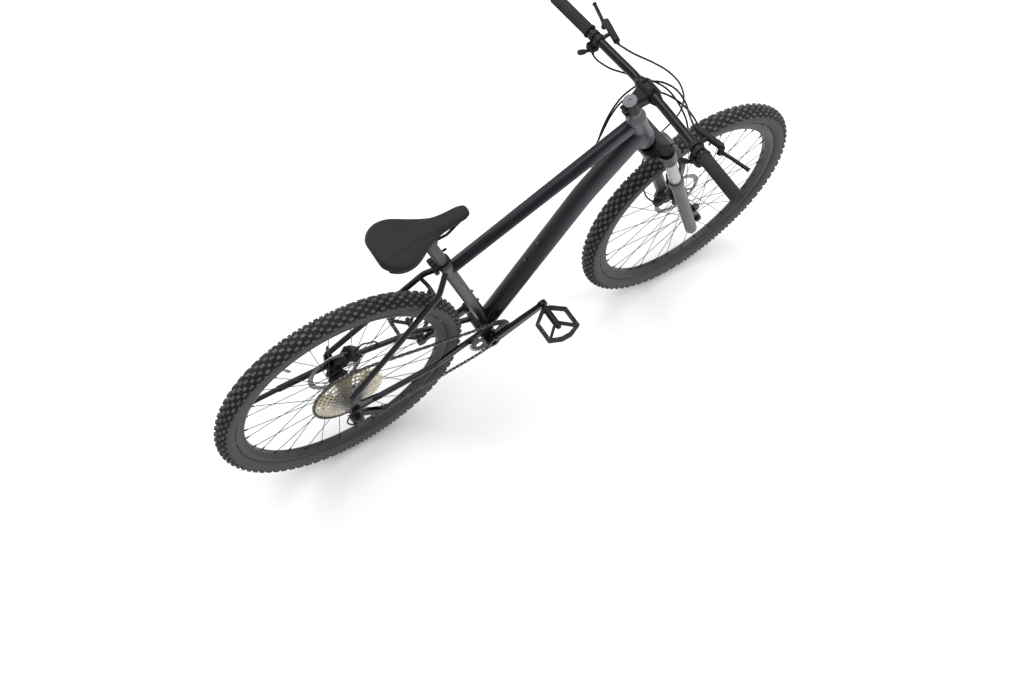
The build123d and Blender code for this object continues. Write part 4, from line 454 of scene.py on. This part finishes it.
class Wardrobe:
    """Makes each finish once and hands it out."""

    def __init__(self, front_axle: Vector, rear_axle: Vector) -> None:
        """Keep the axles, which the hub and cog finishes are laid out from.

        Args:
            front_axle: The front wheel's centre.
            rear_axle: The rear wheel's centre.
        """
        self.made: dict[str, bpy.types.Material] = {}
        self.axles = {"front": tuple(front_axle), "rear": tuple(rear_axle)}

    def special(self, coat: Coat, end: str) -> Finish:
        """Lay out a finish that runs in rings round an axle.

        Args:
            coat: The hub's, the cassette's or the casing's coat.
            end: Which axle, front or rear.

        Returns:
            The finish for that axle.
        """
        centre = self.axles[end]
        if coat is Coat.CASING:
            # Moulded rubber, dusty grey on the bare sidewalls; the casing between the knobs is painted near
            # black, a painted shade in the tread's recesses.
            return Finish(f"moulded_casing_rubber_{end}", "1E1F1F", "2A2A2A", roughness=0.8, specular=0.2,
                          grain_mm=0.7, relief=0.05, patch_mm=30.0,
                          zones=(Zone("4B4C4D", 0.0, 0.7, centre=centre, start=0.350, end=0.344),))
        if coat is Coat.HUB:
            # Anodised hub shell with a stainless brake track, brushed round by the pads.
            return Finish(f"anodised_hub_{end}", "0F1012", "17181A", metallic=0.4, roughness=0.4,
                          specular=0.3, grain_mm=0.9, relief=0.008,
                          zones=(Zone("8B8D90", 1.0, 0.3, centre=centre, start=0.0335, end=0.036),))
        # Nickelled steel cogs, warmer on the large ones.
        return Finish(f"nickelled_cog_steel_{end}", "C2BFB8", "A5A29C", metallic=0.85,
                      roughness=0.36, grain_mm=0.8, relief=0.006, patch_mm=14.0,
                      zones=(Zone("C9C0AC", 0.85, 0.34, centre=centre, start=0.05, end=0.075),))

    def get(self, coat: Coat, end: str = "rear") -> bpy.types.Material:
        """Find a finish, or make it.

        Args:
            coat: The finish's coat.
            end: The axle for the coats that are laid out round one.

        Returns:
            Its material.
        """
        ringed = coat in (Coat.HUB, Coat.COG, Coat.CASING)
        key = f"{coat.name}_{end}" if ringed else coat.name
        if key not in self.made:
            finish = self.special(coat, end) if ringed else FINISHES[coat]
            self.made[key] = finish.build()
        return self.made[key]


def centre_of(node: str) -> Vector:
    """Find the middle of a CAD node's box.

    Args:
        node: The node's name.

    Returns:
        The box's middle, in metres.
    """
    low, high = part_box(node)
    return (Vector(low) + Vector(high)) / 2


@dataclass
class Assembly:
    """A group of the bicycle's pieces that are dressed together."""

    wardrobe: Wardrobe
    coats: ClassVar[dict[str, Coat]] = {}

    def dress(self, nodes: dict[str, bpy.types.Object]) -> None:
        """Give each of the group's CAD nodes its finish.

        Args:
            nodes: The CAD nodes by name.
        """
        for name, coat in self.coats.items():
            end = "front" if name.startswith("front") else "rear"
            material = self.wardrobe.get(coat, end)
            piece = nodes[name]
            if not piece.material_slots:
                piece.data.materials.append(material)
            for place in piece.material_slots:
                place.material = material
            log.info("%s: %s", name, material.name)


class FrameSet(Assembly):
    """The welded frame with its bearings, bolts, seat clamp and stand."""

    coats = {
        "head_tube": Coat.GREY_LACQUER, "top_tube": Coat.TOP_TUBE, "down_tube": Coat.DOWN_TUBE,
        "seat_tube": Coat.SEAT_TUBE, "seat_stays": Coat.STAYS, "chain_stays": Coat.STAYS,
        "dropouts": Coat.BLACK_LACQUER, "seat_clamp": Coat.ANODISED, "seat_clamp_lever": Coat.ANODISED,
        "frame_bolts": Coat.STEEL, "frame_bearings": Coat.STEEL,
        "kickstand_bracket": Coat.STAND, "kickstand_leg": Coat.STAND,
    }


class Fork(Assembly):
    """The telescopic fork with its headset and dial."""

    coats = {
        "fork_crown": Coat.BLACK_LACQUER, "stanchions": Coat.CHROME, "fork_lowers": Coat.FORK,
        "headset_stack": Coat.GREY_LACQUER, "lockout_dial": Coat.PLASTIC,
    }


class Cockpit(Assembly):
    """The stem, handlebar, grips and levers."""

    coats = {
        "stem": Coat.ANODISED, "handlebar": Coat.BLACK_LACQUER, "grips": Coat.GRIP,
        "brake_lever_bodies": Coat.PLASTIC, "thumb_control_bodies": Coat.PLASTIC,
        "brake_lever_left": Coat.ANODISED, "brake_lever_right": Coat.ANODISED,
        "shift_lever_main": Coat.PLASTIC, "shift_lever_release": Coat.PLASTIC, "remote_lever": Coat.PLASTIC,
    }


class Drivetrain(Assembly):
    """The cranks, chain, cogs and derailleur."""

    coats = {
        "crank_arms": Coat.BLACK_LACQUER, "chainring": Coat.CHAINRING, "chain": Coat.CHAIN,
        "cassette": Coat.COG, "derailleur_body": Coat.ANODISED, "derailleur_link": Coat.ANODISED,
        "derailleur_knuckle": Coat.ANODISED, "derailleur_cage": Coat.ANODISED,
        "guide_pulley": Coat.PLASTIC, "tension_pulley": Coat.PLASTIC,
    }


@dataclass
class Lines(Assembly):
    """The hoses and cables, copied whole as smooth jackets; the joints and points listed with them are not
    used.
    """

    bends: ClassVar[tuple[tuple[Any, ...], ...]] = (
        ("frame_lines", "fork_upper", "frame", (0.33, 0.0, 0.99), (0.215, 0.035, 0.80)),
        ("front_lines", "fork_upper", "fork_lower", (0.50, 0.05, 0.78), (0.485, 0.09, 0.56)),
    )

    def dress(self, nodes: dict[str, bpy.types.Object]) -> None:
        """Make a smooth copy of each set of lines, and hide its CAD node.

        Args:
            nodes: The CAD nodes by name.
        """
        for node, near, far, start, end in self.bends:
            shape = bmesh.new()
            shape.from_mesh(nodes[node].data)
            bmesh.ops.remove_doubles(shape, verts=shape.verts, dist=1e-6)
            for face in shape.faces:
                face.smooth = True
            for edge in shape.edges:
                edge.smooth = len(edge.link_faces) == 2 and edge.calc_face_angle(0.0) < radians(50)
            mesh = bpy.data.meshes.new(f"{node}_jacket")
            shape.to_mesh(mesh)
            shape.free()
            mesh.materials.clear()
            mesh.materials.append(self.wardrobe.get(Coat.HOSE))
            piece = link(f"{node}_bending", mesh)
            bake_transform(piece)
            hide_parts(node)
            log.info("%s: %d faces", piece.name, len(mesh.polygons))


@dataclass
class Pedal(Assembly):
    """One platform pedal: a caged ring, a barrel that divides into two arms, and grip pins."""

    side: str = "right"
    outline: tuple[tuple[float, float], ...] = (
        (-52, 122), (-52, 188), (-16, 204), (16, 204), (52, 188), (52, 122), (14, 92), (-14, 92))
    inside: tuple[tuple[float, float], ...] = (
        (-42, 126), (-42, 182), (-13, 193), (13, 193), (42, 182), (42, 126), (11, 103), (-11, 103))
    pins: tuple[tuple[float, float], ...] = (
        (-47, 130), (-47, 155), (-47, 180), (47, 130), (47, 155), (47, 180), (-28, 193), (28, 193))
    half_height: float = 7.0
    arm: tuple[tuple[float, float], ...] = ((6.0, 150.0), (44.0, 184.0))
    arm_width: float = 8.0
    arm_half_height: float = 5.5
    barrel_rings: tuple[tuple[float, float], ...] = (
        (89.0, 9.0), (90.5, 10.2), (150.0, 10.0), (160.0, 8.4), (166.0, 6.0))
    barrel_sides: int = 28
    hand: float = 1.0
    middle: Vector = field(default_factory=Vector)

    def dress(self, nodes: dict[str, bpy.types.Object]) -> None:
        """Build the pedal in its CAD node's place.

        Args:
            nodes: The CAD nodes by name.
        """
        node = f"pedal_{self.side}"
        middle = centre_of(node)
        self.hand = -1.0 if middle.y < 0 else 1.0
        self.middle = Vector((middle.x, 0.0, middle.z))
        shape = bmesh.new()
        self.ring(shape)
        for end in (-1.0, 1.0):
            foot, tip = self.arm
            self.beam(shape, (end * foot[0], foot[1]), (end * tip[0], tip[1]))
        self.barrel(shape)
        bmesh.ops.recalc_face_normals(shape, faces=shape.faces)
        mesh = bpy.data.meshes.new(f"{node}_cage")
        shape.to_mesh(mesh)
        shape.free()
        mesh.materials.append(self.wardrobe.get(Coat.PLASTIC))
        piece = link(f"{node}_platform", mesh)
        bevel = piece.modifiers.new("edges", "BEVEL")
        bevel.width = 1.1 * MM
        bevel.segments = 2
        bevel.limit_method = "ANGLE"
        self.scatter(piece)
        settle(piece)
        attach(piece, node)
        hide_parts(node)
        log.info("%s: %d faces", piece.name, len(piece.data.polygons))

    def at(self, forward: float, out: float, up: float) -> Vector:
        """Place a point of the pedal.

        Args:
            forward: Millimetres ahead of the axle.
            out: Millimetres from the bicycle's middle.
            up: Millimetres above the axle.

        Returns:
            The point in the row frame.
        """
        return self.middle + Vector((forward, self.hand * out, up)) * MM

    def ring(self, shape: bmesh.types.BMesh) -> None:
        """Add the caged ring.

        Args:
            shape: The mesh that gets it.
        """
        loops = []
        for points, height in ((self.outline, self.half_height - 0.6), (self.inside, self.half_height)):
            for up in (height, -height):
                loops.append([shape.verts.new(self.at(x, y, up)) for x, y in points])
        outer_top, outer_low, inner_top, inner_low = loops
        for one, two in ((outer_top, inner_top), (inner_top, inner_low), (inner_low, outer_low),
                         (outer_low, outer_top)):
            bridge(shape, one, two)

    def beam(self, shape: bmesh.types.BMesh, start: tuple[float, float], end: tuple[float, float]) -> None:
        """Add one straight arm.

        Args:
            shape: The mesh that gets it.
            start: Its first end, forward and out.
            end: Its other end.
        """
        run = Vector((end[0] - start[0], end[1] - start[1])).normalized()
        aside = Vector((-run.y, run.x)) * self.arm_width / 2
        rings = []
        for place in (start, end):
            rings.append([shape.verts.new(self.at(place[0] + hand * aside.x, place[1] + hand * aside.y,
                                                  level * self.arm_half_height))
                          for hand, level in ((1, 1), (1, -1), (-1, -1), (-1, 1))])
        self.join(shape, rings)

    def barrel(self, shape: bmesh.types.BMesh) -> None:
        """Add the barrel round the axle, tapered at its outer end.

        Args:
            shape: The mesh that gets it.
        """
        rings = []
        turns = [2 * pi * step / self.barrel_sides for step in range(self.barrel_sides)]
        for out, radius in self.barrel_rings:
            rings.append([shape.verts.new(self.at(radius * cos(turn), out, radius * sin(turn)))
                          for turn in turns])
        self.join(shape, rings)

    def join(self, shape: bmesh.types.BMesh, rings: list[list[bmesh.types.BMVert]]) -> None:
        """Close a run of rings into a solid.

        Args:
            shape: The mesh that holds them.
            rings: The rings in order.
        """
        for one, two in zip(rings, rings[1:]):
            bridge(shape, one, two)
        shape.faces.new(rings[0])
        shape.faces.new(list(reversed(rings[-1])))

    def scatter(self, piece: bpy.types.Object) -> None:
        """Set the grip pins on the ring with Geometry Nodes.

        Args:
            piece: The pedal, which gets the modifier.
        """
        tree = bpy.data.node_groups.new(f"grip_pins_{self.side}", "GeometryNodeTree")
        tree.interface.new_socket(name="Geometry", in_out="INPUT", socket_type="NodeSocketGeometry")
        tree.interface.new_socket(name="Pin Radius", in_out="INPUT", socket_type="NodeSocketFloat")
        tree.interface.new_socket(name="Pin Length", in_out="INPUT", socket_type="NodeSocketFloat")
        tree.interface.new_socket(name="Material", in_out="INPUT", socket_type="NodeSocketMaterial")
        tree.interface.new_socket(name="Geometry", in_out="OUTPUT", socket_type="NodeSocketGeometry")
        given = add_node(tree, "NodeGroupInput").outputs
        pin = add_node(tree, "GeometryNodeMeshCylinder", None,
                       {"Vertices": 8, "Radius": given["Pin Radius"], "Depth": given["Pin Length"]})
        both = add_node(tree, "GeometryNodeJoinGeometry")
        for x, y in self.pins:
            moved = add_node(tree, "GeometryNodeTransform", None,
                             {"Geometry": pin.outputs["Mesh"], "Translation": tuple(self.at(x, y, 0.0))})
            tree.links.new(moved.outputs[0], both.inputs[0])
        solid = add_node(tree, "GeometryNodeRealizeInstances", None, {"Geometry": both.outputs[0]})
        painted = add_node(tree, "GeometryNodeSetMaterial", None,
                           {"Geometry": solid.outputs[0], "Material": given["Material"]})
        whole = add_node(tree, "GeometryNodeJoinGeometry")
        tree.links.new(painted.outputs[0], whole.inputs[0])
        tree.links.new(given["Geometry"], whole.inputs[0])
        add_node(tree, "NodeGroupOutput", None, {0: whole.outputs[0]})
        values = {"Pin Radius": 1.6 * MM, "Pin Length": 18.0 * MM, "Material": self.wardrobe.get(Coat.STEEL)}
        fit_nodes(piece, "pins", tree, values)


class Brakes(Assembly):
    """The calipers, and the axles and quick-release levers beside them."""

    coats = {
        "rear_brake_caliper": Coat.ANODISED, "front_brake_caliper": Coat.ANODISED, "rear_axle": Coat.ANODISED,
        "front_axle": Coat.ANODISED, "rear_qr_lever": Coat.ANODISED, "front_qr_lever": Coat.ANODISED,
    }


@dataclass
class Row:
    """One ring of tread knobs.

    Attributes:
        lean: The ring's angle from the crown of the tread, in degrees.
        phase: Its start, in parts of the knobs' spacing.
        length: A knob's length along the tread.
        width: Its width across the tread.
        taper: How much smaller its top is than its foot.
    """

    lean: float
    phase: float
    length: float
    width: float
    taper: float = 0.84


@dataclass
class Wheel(Assembly):
    """One wheel: its rim, spokes and hub, and a tyre with a knobbed tread."""

    end: str = "front"
    body: str = "front_wheel"
    casing_radius: float = 25.5 * MM
    casing_wall: float = 2.6 * MM
    tread_height: float = 4.0 * MM
    knob_count: int = 76
    section_steps: int = 30
    casing_turns: int = 160
    crown: float = 0.0
    rows: tuple[Row, ...] = (
        Row(9.5, 0.0, 13.0 * MM, 7.4 * MM), Row(-9.5, 0.5, 13.0 * MM, 7.4 * MM),
        Row(29.0, 0.5, 10.0 * MM, 7.0 * MM), Row(-29.0, 0.0, 10.0 * MM, 7.0 * MM),
        Row(48.5, 0.0, 13.0 * MM, 6.4 * MM), Row(-48.5, 0.5, 13.0 * MM, 6.4 * MM),
        Row(66.0, 0.5, 9.0 * MM, 5.4 * MM), Row(-66.0, 0.0, 9.0 * MM, 5.4 * MM),
    )

    def dress(self, nodes: dict[str, bpy.types.Object]) -> None:
        """Dress the rim, spokes and hub, and make the tyre.

        Args:
            nodes: The CAD nodes by name.
        """
        self.coats = {f"{self.end}_rim": Coat.RIM, f"{self.end}_spokes": Coat.SPOKE,
                      f"{self.end}_hub": Coat.HUB}
        super().dress(nodes)
        self.tyre(nodes[f"{self.end}_tyre"])

    def section(self) -> list[tuple[float, float]]:
        """Lay out the casing's closed section.

        Returns:
            Points as radius and offset to the left.
        """
        low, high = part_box(f"{self.end}_rim")
        rim = (high[2] - low[2]) / 2
        bead = high[1] - (high[1] + low[1]) / 2 - 2.8 * MM
        middle = self.crown - self.tread_height - self.casing_radius
        reach = acos((rim + 3.2 * MM - middle) / self.casing_radius)
        inside = self.casing_radius - self.casing_wall
        back = acos((rim + 4.2 * MM - middle) / inside)
        parts = [2 * place / self.section_steps for place in range(self.section_steps + 1)]
        outer = [-reach + reach * part for part in parts]
        inner = [back - back * part for part in parts]
        points = [(middle + self.casing_radius * cos(a), self.casing_radius * sin(a)) for a in outer]
        points += [(rim + 0.8 * MM, bead), (rim + 0.8 * MM, bead - 1.6 * MM)]
        points += [(middle + inside * cos(a), inside * sin(a)) for a in inner]
        points += [(rim + 0.8 * MM, -bead + 1.6 * MM), (rim + 0.8 * MM, -bead)]
        return points

    def casing(self, source: bpy.types.Object) -> bpy.types.Mesh:
        """Turn the casing and keep the valve from the CAD node.

        Args:
            source: The tyre's CAD node.

        Returns:
            The casing's mesh, with the valve as its second material.
        """
        axle = self.wardrobe.axles[self.end]
        shell = bmesh.new()
        outline = self.section()
        rings = []
        for turn in range(self.casing_turns):
            angle = 2 * pi * turn / self.casing_turns
            rings.append([shell.verts.new((axle[0] + far * cos(angle), axle[1] + side,
                                           axle[2] + far * sin(angle))) for far, side in outline])
        for one, two in zip(rings, rings[1:] + rings[:1]):
            bridge(shell, one, two, smooth=True)
        bmesh.ops.recalc_face_normals(shell, faces=shell.faces)
        mesh = bpy.data.meshes.new(f"{self.end}_casing")
        shell.to_mesh(mesh)
        shell.free()
        valve = bmesh.new()
        valve.from_mesh(source.data)
        bmesh.ops.remove_doubles(valve, verts=valve.verts, dist=1e-6)
        extra = []
        for face in valve.faces:
            spot = face.calc_center_median() - Vector(axle)
            if abs(spot.y) > 5 * MM or Vector((spot.x, 0, spot.z)).length > 0.3125:
                extra.append(face)
        bmesh.ops.delete(valve, geom=extra, context="FACES")
        for face in valve.faces:
            face.material_index = 1
            face.smooth = False
        valve.from_mesh(mesh)
        valve.to_mesh(mesh)
        valve.free()
        mesh.materials.append(self.wardrobe.get(Coat.CASING, self.end))
        mesh.materials.append(self.wardrobe.get(Coat.VALVE))
        return mesh

    def tyre(self, source: bpy.types.Object) -> None:
        """Build the tyre with its tread.

        Args:
            source: The tyre's CAD node.
        """
        low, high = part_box(f"{self.end}_tyre")
        self.crown = (high[2] - low[2]) / 2
        piece = link(f"{self.end}_tyre_knobbed", self.casing(source))
        tree = TreadTree().build()
        middle = self.crown - self.tread_height - self.casing_radius
        foot = self.casing_radius - 1.2 * MM
        for number, row in enumerate(self.rows):
            values = {
                "Axle": self.wardrobe.axles[self.end], "Count": self.knob_count,
                "Ring Radius": middle + foot * cos(radians(row.lean)),
                "Across": foot * sin(radians(row.lean)),
                "Lean": radians(row.lean), "Phase": 2 * pi * row.phase / self.knob_count,
                "Length": row.length, "Width": row.width,
                "Height": self.tread_height + 1.1 * MM, "Taper": row.taper,
                "Material": self.wardrobe.get(Coat.TYRE),
            }
            fit_nodes(piece, f"row {number}", tree, values)
        settle(piece)
        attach(piece, self.body)
        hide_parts(f"{self.end}_tyre")
        log.info("%s: %d faces", piece.name, len(piece.data.polygons))


class TreadTree:
    """The Geometry Nodes tree that sets one ring of knobs on a tyre."""

    sockets: ClassVar[tuple[tuple[str, str], ...]] = (
        ("Geometry", "NodeSocketGeometry"), ("Axle", "NodeSocketVector"), ("Count", "NodeSocketInt"),
        ("Ring Radius", "NodeSocketFloat"), ("Across", "NodeSocketFloat"), ("Lean", "NodeSocketFloat"),
        ("Phase", "NodeSocketFloat"), ("Length", "NodeSocketFloat"), ("Width", "NodeSocketFloat"),
        ("Height", "NodeSocketFloat"), ("Taper", "NodeSocketFloat"), ("Material", "NodeSocketMaterial"),
    )

    def build(self) -> bpy.types.NodeTree:
        """Make the tree.

        Returns:
            The node tree, ready for a modifier.
        """
        tree = bpy.data.node_groups.new("tread_ring", "GeometryNodeTree")
        for name, kind in self.sockets:
            tree.interface.new_socket(name=name, in_out="INPUT", socket_type=kind)
        tree.interface.new_socket(name="Geometry", in_out="OUTPUT", socket_type="NodeSocketGeometry")
        given = add_node(tree, "NodeGroupInput").outputs
        size = add_node(tree, "ShaderNodeCombineXYZ", None,
                        {0: given["Height"], 1: given["Length"], 2: given["Width"]})
        block = add_node(tree, "GeometryNodeMeshCube", None, {"Size": size.outputs[0]})
        half = add_node(tree, "ShaderNodeMath", {"operation": "MULTIPLY"}, {0: given["Height"], 1: 0.5})
        lift = add_node(tree, "ShaderNodeCombineXYZ", None, {0: half.outputs[0]})
        stood = add_node(tree, "GeometryNodeTransform", None,
                         {"Geometry": block.outputs["Mesh"], "Translation": lift.outputs[0]})
        normal = add_node(tree, "GeometryNodeInputNormal")
        facing = add_node(tree, "ShaderNodeSeparateXYZ", None, {0: normal.outputs[0]})
        top = add_node(tree, "FunctionNodeCompare", {"data_type": "FLOAT", "operation": "GREATER_THAN"},
                       {0: facing.outputs[0], 1: 0.5})
        knob = add_node(tree, "GeometryNodeScaleElements", {"domain": "FACE"},
                        {"Geometry": stood.outputs[0], "Selection": top.outputs[0],
                         "Scale": given["Taper"]})
        ring = add_node(tree, "GeometryNodeMeshCircle", None,
                        {"Vertices": given["Count"], "Radius": given["Ring Radius"]})
        place = add_node(tree, "ShaderNodeSeparateXYZ", None,
                         {0: add_node(tree, "GeometryNodeInputPosition").outputs[0]})
        round_turn = add_node(tree, "ShaderNodeMath", {"operation": "ARCTAN2"},
                              {0: place.outputs[1], 1: place.outputs[0]})
        tilt = add_node(tree, "ShaderNodeMath", {"operation": "MULTIPLY"}, {0: given["Lean"], 1: -1.0})
        euler = add_node(tree, "ShaderNodeCombineXYZ", None, {1: tilt.outputs[0], 2: round_turn.outputs[0]})
        turn = add_node(tree, "FunctionNodeEulerToRotation", None, {0: euler.outputs[0]})
        knobs = add_node(tree, "GeometryNodeInstanceOnPoints", None,
                         {"Points": ring.outputs[0], "Instance": knob.outputs[0],
                          "Rotation": turn.outputs[0]})
        solid = add_node(tree, "GeometryNodeRealizeInstances", None, {"Geometry": knobs.outputs[0]})
        across = add_node(tree, "ShaderNodeCombineXYZ", None, {2: given["Across"]})
        phase = add_node(tree, "ShaderNodeCombineXYZ", None, {2: given["Phase"]})
        staggered = add_node(tree, "GeometryNodeTransform", None,
                             {"Geometry": solid.outputs[0], "Translation": across.outputs[0],
                              "Rotation": add_node(tree, "FunctionNodeEulerToRotation", None,
                                                   {0: phase.outputs[0]}).outputs[0]})
        upright = add_node(tree, "GeometryNodeTransform", None,
                           {"Geometry": staggered.outputs[0], "Translation": given["Axle"],
                            "Rotation": (pi / 2, 0.0, 0.0)})
        painted = add_node(tree, "GeometryNodeSetMaterial", None,
                           {"Geometry": upright.outputs[0], "Material": given["Material"]})
        both = add_node(tree, "GeometryNodeJoinGeometry")
        tree.links.new(painted.outputs[0], both.inputs[0])
        tree.links.new(given["Geometry"], both.inputs[0])
        add_node(tree, "NodeGroupOutput", None, {0: both.outputs[0]})
        return tree


@dataclass
class Seat(Assembly):
    """The post and the saddle, whose cover is swelled over its shell."""

    voxel: float = 4.5 * MM
    pressure: float = 4.0
    cap: float = 2.4 * MM
    inset: float = 0.6 * MM
    swell_frames: int = 20
    coats: ClassVar[dict[str, Coat]] = {
        "seatpost": Coat.POST, "saddle_rails": Coat.RAIL, "saddle_shell": Coat.PLASTIC,
    }

    def dress(self, nodes: dict[str, bpy.types.Object]) -> None:
        """Dress the post, rails and shell, and make the cover.

        Args:
            nodes: The CAD nodes by name.
        """
        super().dress(nodes)
        self.cover(nodes["saddle_cover"])

    def cover(self, source: bpy.types.Object) -> None:
        """Swell the padded cover from its CAD solid.

        Args:
            source: The cover's CAD node.
        """
        mesh = source.data.copy()
        shape = bmesh.new()
        shape.from_mesh(mesh)
        bmesh.ops.remove_doubles(shape, verts=shape.verts, dist=1e-5)
        shape.normal_update()
        for vertex in shape.verts:
            vertex.co -= vertex.normal * self.inset
        shape.to_mesh(mesh)
        shape.free()
        mesh.materials.clear()
        mesh.materials.append(self.wardrobe.get(Coat.COVER))
        piece = link("saddle_cover_padded", mesh)
        self.remesh(piece)
        self.swell(piece)
        smooth = piece.modifiers.new("round", "SUBSURF")
        smooth.levels = 1
        smooth.render_levels = 1
        settle(piece)
        self.sculpt(piece)
        for face in piece.data.polygons:
            face.use_smooth = True
        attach(piece, "seatpost")
        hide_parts("saddle_cover")
        log.info("%s: %d faces", piece.name, len(piece.data.polygons))

    def sculpt(self, piece: bpy.types.Object) -> None:
        """Press the middle channel and the two side creases into the top.

        Args:
            piece: The cover.
        """
        low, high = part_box("saddle_cover")
        run = high[0] - low[0]
        for vertex in piece.data.vertices:
            if vertex.normal.z < 0.15:
                continue
            back = (high[0] - vertex.co.x) / run
            side = abs(vertex.co.y)
            faded = max(0.0, min(1.0, (back - 0.12) / 0.2)) * max(0.0, min(1.0, (0.96 - back) / 0.16))
            channel = 3.4 * MM * exp(-(side / (12.0 * MM)) ** 2)
            crease_at = (17.0 + 30.0 * back ** 1.6) * MM
            crease = 3.0 * MM * exp(-((side - crease_at) / (6.0 * MM)) ** 2)
            vertex.co.z -= faded * (channel + crease)

    def remesh(self, piece: bpy.types.Object) -> None:
        """Give the cover an even mesh.

        Args:
            piece: The cover.
        """
        even = piece.modifiers.new("even", "REMESH")
        even.mode = "VOXEL"
        even.voxel_size = self.voxel
        ease = piece.modifiers.new("ease", "SMOOTH")
        ease.factor = 0.5
        ease.iterations = 4
        settle(piece)

    def swell(self, piece: bpy.types.Object) -> None:
        """Inflate the cover as cloth, held underneath, and cap how far it moves.

        Args:
            piece: The cover.
        """
        scene = bpy.context.scene
        held = piece.vertex_groups.new(name="held")
        held.add([v.index for v in piece.data.vertices if v.normal.z < -0.3], 1.0, "REPLACE")
        before = [v.co.copy() for v in piece.data.vertices]
        cloth = piece.modifiers.new("swell", "CLOTH")
        cloth.settings.quality = 6
        cloth.settings.mass = 0.3
        cloth.settings.use_pressure = True
        cloth.settings.uniform_pressure_force = self.pressure
        cloth.settings.effector_weights.gravity = 0
        cloth.settings.vertex_group_mass = "held"
        cloth.settings.tension_stiffness = 25
        cloth.settings.compression_stiffness = 25
        cloth.settings.bending_stiffness = 4
        cloth.point_cache.frame_start = 1
        cloth.point_cache.frame_end = self.swell_frames
        for frame in range(1, self.swell_frames + 1):
            scene.frame_set(frame)
        graph = bpy.context.evaluated_depsgraph_get()
        after = bpy.data.meshes.new_from_object(piece.evaluated_get(graph))
        piece.modifiers.clear()
        scene.frame_set(1)
        for vertex, start in zip(after.vertices, before):
            move = vertex.co - start
            if move.length > self.cap:
                vertex.co = start + move.normalized() * self.cap
        piece.vertex_groups.clear()
        piece.data = after


@dataclass
class Studio:
    """The floor, the lights and the camera."""

    wardrobe: Wardrobe
    camera_at: tuple[float, float, float] = (-0.83433, -1.09472, 2.67589)
    camera_turn: tuple[float, float, float] = (2.58398173, -0.73850998, 0.19110809)
    lens: float = 32.898
    shift: tuple[float, float] = (0.02363, 0.01059)
    sky: str = "F4F5F7"
    sky_strength: float = 0.62
    floor_reach: float = 40.0
    floor_drop: float = 0.6 * MM

    def build(self) -> None:
        """Make the floor, lights, world and camera."""
        self.floor()
        self.lamp("overhead", (0.3, 0.6, 5.0), (0.0, 0.0, 0.0), 4.0, 190.0)
        self.lamp("left", (-1.6, 3.4, 2.6), (0.0, 0.0, 0.4), 2.0, 60.0)
        self.lamp("front", (3.4, -1.8, 2.8), (0.2, 0.0, 0.4), 1.8, 55.0)
        bpy.context.scene.view_settings.view_transform = "Standard"
        world = bpy.data.worlds.new("studio")
        world.use_nodes = True
        back = world.node_tree.nodes["Background"]
        back.inputs["Color"].default_value = linear(self.sky)
        back.inputs["Strength"].default_value = self.sky_strength
        bpy.context.scene.world = world
        self.camera()

    def floor(self) -> None:
        """Lay the floor just under the tyres."""
        mesh = bpy.data.meshes.new("floor")
        reach, drop = self.floor_reach, -self.floor_drop
        mesh.from_pydata([(-reach, -reach, drop), (reach, -reach, drop), (reach, reach, drop),
                          (-reach, reach, drop)], [], [(0, 1, 2, 3)])
        mesh.materials.append(self.wardrobe.get(Coat.FLOOR))
        link("floor", mesh)

    def lamp(self, name: str, place: tuple[float, float, float], aim: tuple[float, float, float], size: float,
             power: float) -> None:
        """Hang one soft lamp.

        Args:
            name: The lamp's name.
            place: Where it hangs.
            aim: The point that it faces.
            size: Its side.
            power: Its power in watts.
        """
        light = bpy.data.lights.new(name, "AREA")
        light.size = size
        light.energy = power
        piece = link(name, light)
        piece.location = place
        piece.rotation_euler = (Vector(aim) - Vector(place)).to_track_quat("-Z", "Y").to_euler()

    def camera(self) -> None:
        """Set up the camera."""
        turn = Vector(self.camera_turn)
        seen = Quaternion(turn.normalized(), turn.length).to_matrix().transposed()
        seen = seen @ Matrix.Diagonal((1.0, -1.0, -1.0))
        lens = bpy.data.cameras.new("camera")
        lens.lens = self.lens
        lens.sensor_width = 36.0
        lens.shift_x, lens.shift_y = self.shift
        lens.clip_end = 60.0
        piece = link("camera", lens)
        piece.matrix_world = Matrix.Translation(Vector(self.camera_at)) @ seen.to_4x4()
        bpy.context.scene.camera = piece


def main() -> None:
    """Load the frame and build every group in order."""
    logging.basicConfig(level=logging.INFO, format="%(message)s")
    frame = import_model()
    wardrobe = Wardrobe(centre_of("front_rim"), centre_of("rear_rim"))
    Studio(wardrobe).build()
    groups: list[Assembly] = [
        FrameSet(wardrobe), Fork(wardrobe), Cockpit(wardrobe), Drivetrain(wardrobe), Brakes(wardrobe),
        Pedal(wardrobe, "right"), Pedal(wardrobe, "left"), Lines(wardrobe),
        Wheel(wardrobe, "front", "front_wheel"), Wheel(wardrobe, "rear", "rear_wheel"), Seat(wardrobe),
    ]
    for group in groups:
        group.dress(frame["nodes"])
        log.info("%s is dressed", type(group).__name__)
    bare = [name for name, piece in frame["nodes"].items()
            if not piece.hide_render and not piece.material_slots]
    log.info("nodes with no finish: %s", bare or "none")


if __name__ == "__main__":
    main()
